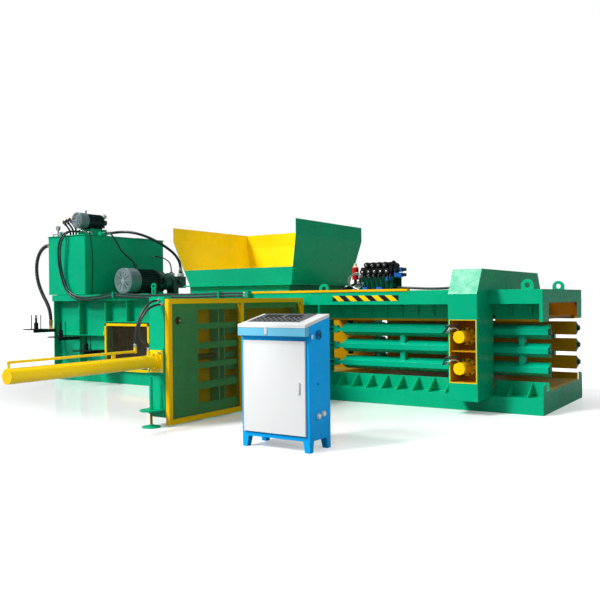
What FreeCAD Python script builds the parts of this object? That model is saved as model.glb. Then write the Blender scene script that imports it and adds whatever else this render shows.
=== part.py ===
"""Horizontal recycling baler: channel press with side tying unit, hopper, power pack and console.

Frame: origin at the centre of the base's underside, +X towards the bale outlet, +Y away from
the operator's side, +Z up. Millimetres.
"""
import FreeCAD, Part
import math
import os
from FreeCAD import Vector as V

# ---------------------------------------------------------------- driving dimensions
BODY_LENGTH = 7870.0
BODY_WIDTH = 1720.0
BASE_HEIGHT = 176.0
BEAM_TOP = 1335.0
BEAM_FACE = 156.0
WEB = 12.0
DECK_INSET = 232.0
SILL_TOP = 329.0

CHAMBER_WIDTH = 1100.0
FLOOR_TOP = 260.0
FLOOR_PLATE = 20.0
ROOF_UNDERSIDE = 1010.0
CHAMBER_WALL = 25.0
CHAMBER_LEFT = -1770.0
CHAMBER_RIGHT = 1180.0

FEED_LEFT = -1080.0
FEED_RIGHT = 600.0
NECK_WIDTH = BODY_WIDTH - 240.0
NECK_TOP = 1445.0
NECK_FLANGE = 17.0
HOPPER_FLOOR_LEFT = -1070.0
HOPPER_FLOOR_RIGHT = 690.0
HOPPER_FLOOR_WIDTH = NECK_WIDTH + 40.0
HOPPER_RIM_LEFT = -1280.0
HOPPER_RIM_RIGHT = 840.0
HOPPER_RIM_WIDTH = BODY_WIDTH + 10.0
HOPPER_BAND_BOTTOM = 2090.0
HOPPER_TOP = 2292.0
HOPPER_FRONT_TOP = 1680.0
HOPPER_SHEET = 8.0

RAM_LENGTH = 1600.0
RAM_FACE_X = -1100.0
RAM_STROKE = 1800.0
RAM_WALL = 20.0
RAM_FACE_PLATE = 60.0
RAM_SIDE_GAP = 5.0
MAIN_BORE = 200.0
MAIN_BARREL_WALL = 25.0
MAIN_ROD = 140.0

FRAME_X = BODY_LENGTH / 2 - 750.0
FRAME_DEPTH = 326.0
FRAME_HALF_WIDTH = 1204.0
FRAME_BOTTOM = 148.0
FRAME_SHOULDER = 1291.0
FRAME_TOP = 1562.0
FRAME_CHAMFER = 158.0
FRAME_PLATE = 20.0
FRAME_OPENING = 700.0
WINDOW_BOTTOM = 346.0
WINDOW_TOP = 1008.0

BAR_CENTRES = (460.0, 668.0, 872.0)
BAR_HEIGHT = 162.0
BAR_FACE = 60.0
BAR_INNER_Y = 560.0
BAR_OUTER_Y = 690.0
BAR_WALL = 12.0
BAR_LEFT = 1400.0
BAR_RIGHT = 3942.0
HINGE_X = 1290.0
HINGE_Y = 640.0
HINGE_PIN = 40.0
CLAMP_X = FRAME_X - 44.0
CLAMP_CYLINDER = 132.0
CLAMP_BORE = 100.0
CLAMP_ROD = 80.0
CLAMP_HEIGHTS = (490.0, 830.0)
PANEL_SWING = 2.0

TANK_LEFT = -BODY_LENGTH / 2 - 113.0
TANK_LENGTH = 880.0
TANK_FRONT = -BODY_WIDTH / 2
TANK_DEPTH = BODY_WIDTH + 28.0
TANK_BOTTOM = 1366.0
TANK_TOP = 2306.0
TANK_SHEET = 6.0
PLATFORM_TOP = 1360.0
PLATFORM_RIGHT = -1760.0
PLATFORM_LIP = 72.0

NEEDLE_X = 819.0
WINDOW_ROWS = (243.0, 462.0, 666.0, 876.0, 1081.0)
NEEDLE_LOWEST = 375.0
NEEDLE_PITCH = 135.0
NEEDLE_STROKE = 1475.0
NEEDLE_WIDTH = 50.0
NEEDLE_HEIGHT = 60.0
NEEDLE_BARREL = 130.0
NEEDLE_BORE = 90.0
NEEDLE_ROD = 60.0
NEEDLE_AXIS_Z = 650.0
UNIT_END_Y = -3355.0
CARRIAGE_FRONT_Y = -2370.0
CYLINDER_END_Y = -5066.0
GUARD_X = 927.0
GUARD_TUBE = 50.0
GUARD_BOTTOM = 15.0
GUARD_TOP = 1270.0
GUARD_END_Y = -916.0
GUARD_MID_Y = -2169.0

CONSOLE_LEFT = 2170.0
CONSOLE_WIDTH = 685.0
CONSOLE_FRONT = -3715.0
CONSOLE_DEPTH = 325.0
CONSOLE_FRONT_TOP = 1030.0
CONSOLE_BACK_TOP = 1100.0
CONSOLE_SHEET = 3.0

RUNNING = 0.05      # radial clearance of a shaft in its bore
CLEAR = 0.3         # clearance between bodies that pass each other

HALF_LENGTH = BODY_LENGTH / 2
HALF_WIDTH = BODY_WIDTH / 2
SILL_Y = HALF_WIDTH - DECK_INSET
CHAMBER_Y = CHAMBER_WIDTH / 2
FRAME_X0 = FRAME_X - FRAME_DEPTH / 2
FRAME_X1 = FRAME_X + FRAME_DEPTH / 2
FLOOR_BOTTOM = FLOOR_TOP - FLOOR_PLATE
BEAM_BOTTOM = BEAM_TOP - BEAM_FACE
X, Y, Z = V(1, 0, 0), V(0, 1, 0), V(0, 0, 1)


# ---------------------------------------------------------------- helpers
def box(x0, x1, y0, y1, z0, z1):
    return Part.makeBox(x1 - x0, y1 - y0, z1 - z0, V(x0, y0, z0))


def rod(base, axis, radius, length):
    return Part.makeCylinder(radius, length, V(*base), axis)


def pipe(base, axis, outer, inner, length):
    return rod(base, axis, outer, length).cut(rod(base, axis, inner, length))


def cone(base, axis, r0, r1, length):
    return Part.makeCone(r0, r1, length, V(*base), axis)


def fuse(shapes):
    shapes = list(shapes)
    return shapes[0].multiFuse(shapes[1:]).removeSplitter() if len(shapes) > 1 else shapes[0]


def face_of(points):
    return Part.Face(Part.makePolygon([V(*p) for p in points] + [V(*points[0])]))


def plate_x(points, x0, x1):
    """A plate square to X with the outline (y, z)."""
    return face_of([(x0, y, z) for y, z in points]).extrude(V(x1 - x0, 0, 0))


def plate_y(points, y0, y1):
    """A plate square to Y with the outline (x, z)."""
    return face_of([(x, y0, z) for x, z in points]).extrude(V(0, y1 - y0, 0))


def both_sides(shape):
    """The shape and its mirror image on the other side of the machine."""
    return [shape, shape.mirror(V(0, 0, 0), Y)]


def steps(first, pitch, count):
    return [first + pitch * i for i in range(count)]


NEEDLE_HEIGHTS = steps(NEEDLE_LOWEST, NEEDLE_PITCH, 5)


def save(name, shapes):
    shapes = shapes if isinstance(shapes, list) else [shapes]
    solids = [s for shape in shapes for s in shape.Solids]
    for s in solids:
        if not s.isValid():
            print("not valid:", name)
    whole = solids[0] if len(solids) == 1 else Part.makeCompound(solids)
    whole.exportStep("parts/%s.step" % name)
    print(name, len(solids), round(whole.Volume / 1e6, 2))


def hose_path(points):
    """Straight runs joined by tangent arcs, each as large as its two runs allow."""
    pts = [V(*p) for p in points]
    edges, start, radii = [], pts[0], []
    for before, at, after in zip(pts, pts[1:], pts[2:]):
        u, w = (before - at), (after - at)
        run = min(u.Length, w.Length)
        u.normalize()
        w.normalize()
        turn = math.pi - u.getAngle(w)
        reach = 0.45 * run
        radius = reach / math.tan(turn / 2)
        a, b = at + u * reach, at + w * reach
        middle_way = (u + w)
        middle_way.normalize()
        middle = at + middle_way * (math.hypot(radius, reach) - radius)
        edges.append(Part.LineSegment(start, a).toShape())
        edges.append(Part.Arc(a, middle, b).toShape())
        start = b
        radii.append(radius)
    edges.append(Part.LineSegment(start, pts[-1]).toShape())
    return Part.Wire(edges), radii


def hose(name, points, diameter):
    path, radii = hose_path(points)
    first = path.Edges[0]
    direction = first.tangentAt(first.FirstParameter)
    circle = Part.Wire([Part.makeCircle(diameter / 2, V(*points[0]), direction)])
    solid = path.makePipeShell([circle], True, False)
    whole = solid.Volume / (math.pi * diameter ** 2 / 4 * path.Length)
    print(name, "radii", [round(r) for r in radii], "length", round(path.Length),
          "volume ratio", round(whole, 4))
    return solid


# ---------------------------------------------------------------- base and channel
GUSSETS = steps(1405.0, 203.0, 8) + steps(HALF_LENGTH - 388, 212.0, 2)
CROSS_MEMBERS = (-HALF_LENGTH + 55, -2700.0, -1750.0, -900.0, 0.0, 950.0, 1800.0, 2700.0,
                 HALF_LENGTH - 335)
POST_WIDTH = 134.0


def base_frame():
    side = [box(-HALF_LENGTH, HALF_LENGTH, -HALF_WIDTH, -HALF_WIDTH + WEB, 0, BASE_HEIGHT),
            box(-HALF_LENGTH, HALF_LENGTH, -HALF_WIDTH, -SILL_Y, BASE_HEIGHT - WEB, BASE_HEIGHT),
            box(-HALF_LENGTH, HALF_LENGTH, -SILL_Y - WEB, -SILL_Y, 0, SILL_TOP)]
    for x in GUSSETS:
        outline = [(-SILL_Y - WEB, BASE_HEIGHT), (-HALF_WIDTH + 8, BASE_HEIGHT),
                   (-SILL_Y - 2 * WEB, SILL_TOP - 6), (-SILL_Y - WEB, SILL_TOP - 6)]
        side.append(plate_x(outline, x - WEB / 2, x + WEB / 2))
    post = [(-HALF_WIDTH, 0), (-HALF_WIDTH, SILL_TOP - 20), (-HALF_WIDTH + POST_WIDTH, SILL_TOP + 6),
            (-HALF_WIDTH + POST_WIDTH, 0)]
    side.append(plate_x(post, HALF_LENGTH - WEB, HALF_LENGTH))
    pieces = both_sides(fuse(side))
    for x in CROSS_MEMBERS:
        pieces.append(box(x - 50, x + 50, -SILL_Y, SILL_Y, 0, FLOOR_BOTTOM))
    sill = box(HALF_LENGTH - WEB, HALF_LENGTH, -HALF_WIDTH + POST_WIDTH, HALF_WIDTH - POST_WIDTH, 0,
               FLOOR_BOTTOM)
    pieces.append(sill)
    whole = fuse(pieces)
    ring_seat = box(FRAME_X0, FRAME_X1, -BODY_WIDTH, BODY_WIDTH, FRAME_BOTTOM, BEAM_TOP)
    left_bay = box(-HALF_LENGTH - 1, CHAMBER_LEFT, -HALF_WIDTH - 1, HALF_WIDTH + 1, BASE_HEIGHT,
                   SILL_TOP + 1)
    bearer = box(FLOOR_LEFT + 10, FLOOR_LEFT + 110, -SILL_Y, SILL_Y, BASE_HEIGHT, FLOOR_BOTTOM)
    return fuse([whole.cut(ring_seat).cut(left_bay), bearer])


FLOOR_LEFT = -2760.0


def channel_floor():
    return box(FLOOR_LEFT, HALF_LENGTH, -SILL_Y, SILL_Y, FLOOR_BOTTOM, FLOOR_TOP)


PANEL_LIP = 25.0
CHAMBER_RIBS = (-1180.0, -580.0, 20.0, 560.0, 1165.0)
EAR = 20.0
TONGUE = 40.0


def hinge_post():
    """The post on the front side whose ears carry the side panel's pins."""
    post = box(CHAMBER_RIGHT, CHAMBER_RIGHT + 20, -SILL_Y - WEB - 50, -CHAMBER_Y, SILL_TOP,
               ROOF_UNDERSIDE)
    ears = []
    for z in BAR_CENTRES:
        for low in (TONGUE / 2 + CLEAR, -TONGUE / 2 - CLEAR - EAR):
            ears.append(box(CHAMBER_RIGHT + 20, HINGE_X, -HINGE_Y - 45, -HINGE_Y + 45, z + low,
                            z + low + EAR))
            ears.append(rod((HINGE_X, -HINGE_Y, z + low), Z, 45, EAR))
    whole = fuse([post] + ears)
    bore = rod((HINGE_X, -HINGE_Y, 0), Z, HINGE_PIN / 2, BEAM_TOP)
    return whole.cut(bore)


def chamber_walls():
    wall = box(CHAMBER_LEFT, CHAMBER_RIGHT, -CHAMBER_Y - CHAMBER_WALL, -CHAMBER_Y, FLOOR_TOP,
               ROOF_UNDERSIDE)
    for z in NEEDLE_HEIGHTS:
        wall = wall.cut(box(NEEDLE_X - 45, NEEDLE_X + 45, -HALF_WIDTH, 0, z - 50, z + 50))
    ribs = []
    for x in CHAMBER_RIBS:
        outline = [(-HALF_WIDTH, BASE_HEIGHT), (-HALF_WIDTH, BEAM_BOTTOM),
                   (-SILL_Y - WEB, BEAM_BOTTOM), (-SILL_Y - WEB, ROOF_UNDERSIDE),
                   (-CHAMBER_Y - CHAMBER_WALL, ROOF_UNDERSIDE), (-CHAMBER_Y - CHAMBER_WALL, SILL_TOP),
                   (-SILL_Y - WEB, SILL_TOP), (-SILL_Y - WEB, BASE_HEIGHT)]
        ribs.append(plate_x(outline, x - 7.5, x + 7.5))
    return both_sides(fuse([wall] + ribs + [hinge_post()]))


def top_beams():
    x1 = HALF_LENGTH - 35
    side = [box(CHAMBER_LEFT, x1, -HALF_WIDTH, -HALF_WIDTH + WEB, BEAM_BOTTOM, BEAM_TOP),
            box(CHAMBER_LEFT, x1, -HALF_WIDTH, -SILL_Y, BEAM_TOP - WEB, BEAM_TOP),
            box(CHAMBER_LEFT, x1, -HALF_WIDTH, -SILL_Y, BEAM_BOTTOM, BEAM_BOTTOM + WEB),
            box(CHAMBER_LEFT, x1, -SILL_Y - WEB, -SILL_Y, ROOF_UNDERSIDE, BEAM_TOP),
            box(CHAMBER_RIGHT + 20, x1, -SILL_Y - WEB, -SILL_Y, ROOF_UNDERSIDE - PANEL_LIP,
                ROOF_UNDERSIDE)]
    for x in GUSSETS:
        web = -SILL_Y - WEB
        outline = [(web, BEAM_BOTTOM), (web - 50, BEAM_BOTTOM), (web - 50, ROOF_UNDERSIDE + 75),
                   (web - 16, ROOF_UNDERSIDE + 20), (web, ROOF_UNDERSIDE + 20)]
        side.append(plate_x(outline, x - WEB / 2, x + WEB / 2))
    leg = box(x1, HALF_LENGTH, -HALF_WIDTH, -HALF_WIDTH + 242, ROOF_UNDERSIDE - 22, BEAM_TOP)
    pieces = both_sides(fuse(side + [leg]))
    pieces.append(box(x1, HALF_LENGTH, -HALF_WIDTH + 242, HALF_WIDTH - 242, BEAM_BOTTOM + 4, BEAM_TOP))
    pieces.append(box(FEED_RIGHT + 40, x1, -SILL_Y, SILL_Y, ROOF_UNDERSIDE, ROOF_UNDERSIDE + 20))
    pieces.append(box(CHAMBER_LEFT, FEED_LEFT, -SILL_Y, SILL_Y, ROOF_UNDERSIDE, ROOF_UNDERSIDE + 20))
    whole = fuse(pieces)
    return whole.cut(box(FRAME_X0, FRAME_X1, -BODY_WIDTH, BODY_WIDTH, 0, 2 * BEAM_TOP).cut(
        box(FRAME_X0 - 1, FRAME_X1 + 1, -SILL_Y, SILL_Y, ROOF_UNDERSIDE, ROOF_UNDERSIDE + 20)))


def fixed_blade():
    blade = box(FEED_RIGHT, FEED_RIGHT + 40, -CHAMBER_Y + 5, CHAMBER_Y - 5, ROOF_UNDERSIDE,
                ROOF_UNDERSIDE + 30)
    return blade


def feed_neck():
    """Throat plates between the beams, the neck on top of them and the flange for the hopper."""
    half = NECK_WIDTH / 2
    neck = box(FEED_LEFT, FEED_RIGHT, -half, half, BEAM_TOP, NECK_TOP)
    inside = box(FEED_LEFT + 10, FEED_RIGHT - 10, -half + 10, half - 10, BEAM_TOP, NECK_TOP)
    flange = box(FEED_LEFT - 70, HOPPER_FLOOR_RIGHT + 30, -half - 60, half + 60, NECK_TOP,
                 NECK_TOP + NECK_FLANGE)
    mouth = box(FEED_LEFT + 10, FEED_RIGHT - 10, -half + 10, half - 10, NECK_TOP,
                NECK_TOP + NECK_FLANGE)
    right = box(FEED_RIGHT, FEED_RIGHT + WEB, -SILL_Y, SILL_Y, ROOF_UNDERSIDE + 30, BEAM_TOP)
    posts = [box(FEED_RIGHT, FEED_RIGHT + 30, y - 15, y + 15, BEAM_TOP, NECK_TOP)
             for y in (-half + 15, half - 15)]
    left = box(FEED_LEFT - WEB, FEED_LEFT, -SILL_Y, SILL_Y, ROOF_UNDERSIDE + 20, BEAM_TOP)
    ties = [box(x, x + WEB + 10, -SILL_Y, SILL_Y, BEAM_TOP - 12, BEAM_TOP)
            for x in (FEED_LEFT - WEB, FEED_RIGHT - 10)]
    return fuse([neck.cut(inside), flange.cut(mouth), left, right] + ties + posts)


def hopper_form(inset, front=0.0):
    """The space of the hopper, drawn in by the inset, with its front moved out by front."""
    z0 = NECK_TOP + NECK_FLANGE
    low = (HOPPER_FLOOR_LEFT + inset, HOPPER_FLOOR_RIGHT - inset, HOPPER_FLOOR_WIDTH / 2 - inset)
    high = (HOPPER_RIM_LEFT + inset, HOPPER_RIM_RIGHT - inset, HOPPER_RIM_WIDTH / 2 - inset)

    def wire(x0, x1, half, z):
        return Part.makePolygon([V(x0, -half - front, z), V(x1, -half - front, z), V(x1, half, z),
                                 V(x0, half, z), V(x0, -half - front, z)])

    slope = Part.makeLoft([wire(*low, z0), wire(*high, HOPPER_BAND_BOTTOM)], True, True)
    band = box(high[0], high[1], -high[2] - front, high[2], HOPPER_BAND_BOTTOM, HOPPER_TOP)
    return slope.fuse(band)


def hopper():
    shell = hopper_form(0).cut(hopper_form(HOPPER_SHEET))
    reach = 400.0
    gap = hopper_form(HOPPER_SHEET, reach)
    above = box(-BODY_LENGTH, BODY_LENGTH, -BODY_LENGTH, 0, HOPPER_FRONT_TOP, HOPPER_TOP + 1)
    return shell.cut(gap.common(above)).removeSplitter()


# ---------------------------------------------------------------- ram and main cylinder
RAM_LOW = FLOOR_TOP + CLEAR
RAM_HIGH = ROOF_UNDERSIDE - 5
RAM_BACK = RAM_FACE_X - RAM_LENGTH
RAM_AXIS_Z = (RAM_LOW + RAM_HIGH) / 2
RAM_Y = CHAMBER_Y - RAM_SIDE_GAP
END_PLATE = 50.0
BARREL_BACK = -HALF_LENGTH + END_PLATE
BARREL_FRONT = -1600.0
GLAND = 60.0
PISTON = 120.0
PISTON_BACK = BARREL_BACK + 140.0


def ram_blade():
    return box(RAM_FACE_X - 50, RAM_FACE_X + 2, -RAM_Y + 3, RAM_Y - 3, RAM_HIGH - 30, RAM_HIGH + 3)


def ram():
    shell = box(RAM_BACK, RAM_FACE_X, -RAM_Y, RAM_Y, RAM_LOW, RAM_HIGH)
    inside = box(RAM_BACK, RAM_FACE_X - RAM_FACE_PLATE, -RAM_Y + RAM_WALL, RAM_Y - RAM_WALL,
                 RAM_LOW + RAM_WALL, RAM_HIGH - RAM_WALL)
    ribs = []
    x0 = RAM_FACE_X - RAM_FACE_PLATE - 120
    for y in (-260.0, 260.0):
        ribs.append(box(x0, x0 + 120, y - 10, y + 10, RAM_LOW + RAM_WALL, RAM_HIGH - RAM_WALL))
    return fuse([shell.cut(inside)] + ribs).cut(ram_blade())


def main_cylinder():
    outer = MAIN_BORE / 2 + MAIN_BARREL_WALL
    body = rod((BARREL_BACK, 0, RAM_AXIS_Z), X, outer, BARREL_FRONT - BARREL_BACK)
    flange = rod((BARREL_BACK, 0, RAM_AXIS_Z), X, outer + 60, 40)
    head = rod((BARREL_FRONT - GLAND - 30, 0, RAM_AXIS_Z), X, outer + 12, GLAND + 30)
    bore = rod((BARREL_BACK + 60, 0, RAM_AXIS_Z), X, MAIN_BORE / 2,
               BARREL_FRONT - GLAND - BARREL_BACK - 60)
    gland = rod((BARREL_FRONT - GLAND, 0, RAM_AXIS_Z), X, MAIN_ROD / 2, GLAND)
    return fuse([body, flange, head]).cut(bore).cut(gland)


def main_rod():
    piston = rod((PISTON_BACK, 0, RAM_AXIS_Z), X, MAIN_BORE / 2 - RUNNING, PISTON)
    start = PISTON_BACK + PISTON
    shaft = rod((start, 0, RAM_AXIS_Z), X, MAIN_ROD / 2 - RUNNING,
                RAM_FACE_X - RAM_FACE_PLATE - start)
    return fuse([piston, shaft])


# ---------------------------------------------------------------- housing, platform and tank
HOUSING_RIBS = (-HALF_LENGTH, -HALF_LENGTH + 608, -2727.0, CHAMBER_LEFT - 15)
HOUSING_SHORT_RIB = -2262.0
RIB = 15.0
HOUSING_WALL_Y = 745.0
LONG_STIFFENER_Z = 717.0
DOOR_HEADER_Z = 930.0
ACCESS_X0, ACCESS_X1 = -2706.0, -1758.0
ACCESS_Z0, ACCESS_Z1 = 192.0, 914.0
DOOR_PIN_X = ACCESS_X0 - 18
DOOR_PIN_Y = -HALF_WIDTH - 18
DOOR_PIN_Z = (330.0, 760.0)


def housing_walls():
    inner = -HOUSING_WALL_Y - RIB
    wall = box(-HALF_LENGTH, CHAMBER_LEFT, inner, -HOUSING_WALL_Y, BASE_HEIGHT, BEAM_TOP)
    side = [wall]
    for x in HOUSING_RIBS:
        side.append(box(x, x + RIB, -HALF_WIDTH, inner, BASE_HEIGHT, BEAM_TOP))
    side.append(box(HOUSING_SHORT_RIB, HOUSING_SHORT_RIB + RIB, -HALF_WIDTH, inner, DOOR_HEADER_Z,
                    BEAM_TOP))
    side.append(box(-HALF_LENGTH, ACCESS_X0 - 14, -HALF_WIDTH + 10, inner, LONG_STIFFENER_Z,
                    LONG_STIFFENER_Z + 12))
    side.append(box(ACCESS_X0 - 14, ACCESS_X1 - 22, -HALF_WIDTH, inner, DOOR_HEADER_Z,
                    DOOR_HEADER_Z + 15))
    one_side = fuse(side)
    front = one_side.cut(box(ACCESS_X0 + 30, ACCESS_X1 - 30, -HALF_WIDTH - 1, 0, ACCESS_Z0 + 30,
                             ACCESS_Z1 - 30))
    end = box(-HALF_LENGTH, BARREL_BACK, -HOUSING_WALL_Y, HOUSING_WALL_Y, BASE_HEIGHT, BEAM_TOP)
    top = box(-HALF_LENGTH - 15, PLATFORM_RIGHT, -HALF_WIDTH - 20, HALF_WIDTH + 20, BEAM_TOP,
              PLATFORM_TOP)
    lips = both_sides(box(-HALF_LENGTH - 15, PLATFORM_RIGHT, -HALF_WIDTH - 20, -HALF_WIDTH,
                          BEAM_TOP - PLATFORM_LIP, BEAM_TOP))
    hinges = []
    for z in DOOR_PIN_Z:
        hinges.append(rod((DOOR_PIN_X, DOOR_PIN_Y, z - 30), Z, 6, 90))
        hinges.append(box(DOOR_PIN_X - 7, DOOR_PIN_X + 8, DOOR_PIN_Y - 8, -HALF_WIDTH, z - 42, z - 30))
    return fuse([front, one_side.mirror(V(0, 0, 0), Y), end, top] + lips + hinges + pump_rails())


def access_door():
    y0, y1 = -HALF_WIDTH - 30.5, -HALF_WIDTH - 0.5
    outer = box(ACCESS_X0, ACCESS_X1, y0, y1, ACCESS_Z0, ACCESS_Z1)
    outer = outer.cut(box(ACCESS_X0 + 40, ACCESS_X1 - 40, y0, y1, ACCESS_Z0 + 40, ACCESS_Z1 - 40))
    mesh = box(ACCESS_X0 + 40, ACCESS_X1 - 40, y1 - 12, y1 - 6, ACCESS_Z0 + 40, ACCESS_Z1 - 40)
    rows, columns = 14, 4
    width = (ACCESS_X1 - ACCESS_X0 - 80) / columns
    height = (ACCESS_Z1 - ACCESS_Z0 - 80) / rows
    slots = []
    for i in range(columns):
        for j in range(rows):
            x = ACCESS_X0 + 40 + i * width
            z = ACCESS_Z0 + 40 + j * height
            slots.append(box(x + 10, x + width - 10, y1 - 20, y1, z + 10, z + height - 10))
    mesh = mesh.cut(Part.makeCompound(slots))
    knuckles = []
    for z in DOOR_PIN_Z:
        knuckles.append(rod((DOOR_PIN_X, DOOR_PIN_Y, z - 30 + CLEAR), Z, 12, 60))
        knuckles.append(box(DOOR_PIN_X, ACCESS_X0 + 10, DOOR_PIN_Y - 5, DOOR_PIN_Y + 5, z - 20, z + 20))
    door = fuse([outer, mesh] + knuckles)
    for z in DOOR_PIN_Z:
        door = door.cut(rod((DOOR_PIN_X, DOOR_PIN_Y, z - 60), Z, 6 + RUNNING, 160))
    return door


def oil_tank():
    x0, x1 = TANK_LEFT, TANK_LEFT + TANK_LENGTH
    y0, y1 = TANK_FRONT, TANK_FRONT + TANK_DEPTH
    shell = box(x0, x1, y0, y1, TANK_BOTTOM, TANK_TOP)
    inside = box(x0 + TANK_SHEET, x1 - TANK_SHEET, y0 + TANK_SHEET, y1 - TANK_SHEET,
                 TANK_BOTTOM + TANK_SHEET, TANK_TOP)
    skids = [box(x0 + 130, x1 - 40, y, y + 80, PLATFORM_TOP, TANK_BOTTOM)
             for y in (y0 + 60, y1 - 140)]
    plug = rod((x0 + 560, y0 - 14, TANK_BOTTOM + 40), Y, 14, 14)
    rim = box(x0 - 6, x1 + 6, y0 - 6, y1 + 6, TANK_BOTTOM, TANK_BOTTOM + 10).cut(
        box(x0, x1, y0, y1, TANK_BOTTOM, TANK_BOTTOM + 10))
    return fuse([shell.cut(inside), rim, plug] + skids)


FRONT_HOSE_X, FRONT_HOSE_Y, FRONT_HOSE_Z = TANK_LEFT + 448, -600.0, 2394.0
FRONT_HOSE_STEP = 60.0
PUMP_HOSE_START = (TANK_LEFT + 268, 130.0, 2428.0)
CABLE_START = (TANK_LEFT + TANK_LENGTH - 62, -420.0, 2368.0)
LID = 12.0
LID_TOP = TANK_TOP + LID
COOLER_X = TANK_LEFT + 428
COOLER_Z = 2582.0
COOLER_FAN_Y = -640.0
COOLER_SHAFT = 132.0


def tank_lid():
    plate = box(TANK_LEFT - 12, TANK_LEFT + TANK_LENGTH + 12, TANK_FRONT - 12,
                TANK_FRONT + TANK_DEPTH + 12, TANK_TOP, LID_TOP)
    foot_z = COOLER_Z - COOLER_SHAFT
    stand = [box(COOLER_X - 150, COOLER_X + 150, -470, -130, foot_z - 14, foot_z)]
    for x in (-140.0, 128.0):
        stand.append(box(COOLER_X + x, COOLER_X + x + 12, -470, -130, LID_TOP, foot_z - 14))
    hatch = box(TANK_LEFT + 240, TANK_LEFT + TANK_LENGTH - 60, 360, 780, LID_TOP, LID_TOP + 14)
    cap = rod((TANK_LEFT + 560, 570, LID_TOP + 14), Z, 40, 26)
    outlet = box(FRONT_HOSE_X - 40, FRONT_HOSE_X + 100, FRONT_HOSE_Y, FRONT_HOSE_Y + 60, LID_TOP,
                 FRONT_HOSE_Z + 28)
    hx, hy, hz = PUMP_HOSE_START
    elbow = fuse([rod((hx - 38, hy, LID_TOP), Z, 27, hz - LID_TOP), rod((hx - 38, hy, hz), X, 27, 38),
                  Part.makeSphere(31, V(hx - 38, hy, hz))])
    cx, cy, cz = CABLE_START
    gland = fuse([box(cx - 90, cx - 30, cy - 30, cy + 30, LID_TOP, cz + 24),
                  rod((cx - 30, cy, cz), X, 18, 30)])
    return fuse([plate, hatch, cap, outlet, elbow, gland, gauge_valve()] + stand)


def gauge_valve():
    """Pressure gauge on its stem, the ball valve's body and the bent drain pipe on the tank lid."""
    x, y = TANK_LEFT + 130, TANK_FRONT + 90
    stem = rod((x, y, LID_TOP), Z, 12, 105)
    gauge = rod((x, y - 18, LID_TOP + 140), Y, 38, 36)
    body = box(x + 6, x + 90, y - 20, y + 20, LID_TOP + 22, LID_TOP + 62)
    branch = rod((x + 60, y, LID_TOP), Z, 12, 30)
    elbow = rod((x - 120, y, LID_TOP + 40), X, 9, 140)
    drop = rod((x - 120, y, LID_TOP), Z, 9, 40)
    knee = Part.makeSphere(12, V(x - 120, y, LID_TOP + 40))
    return fuse([stem, gauge, body, branch, elbow, drop, knee])


def valve_lever():
    x, y = TANK_LEFT + 181, TANK_FRONT + 90
    hub = rod((x, y, LID_TOP + 62 + CLEAR), Z, 12, 16)
    lever = box(x, x + 85, y - 9, y + 9, LID_TOP + 66, LID_TOP + 74)
    return fuse([hub, lever])


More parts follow.
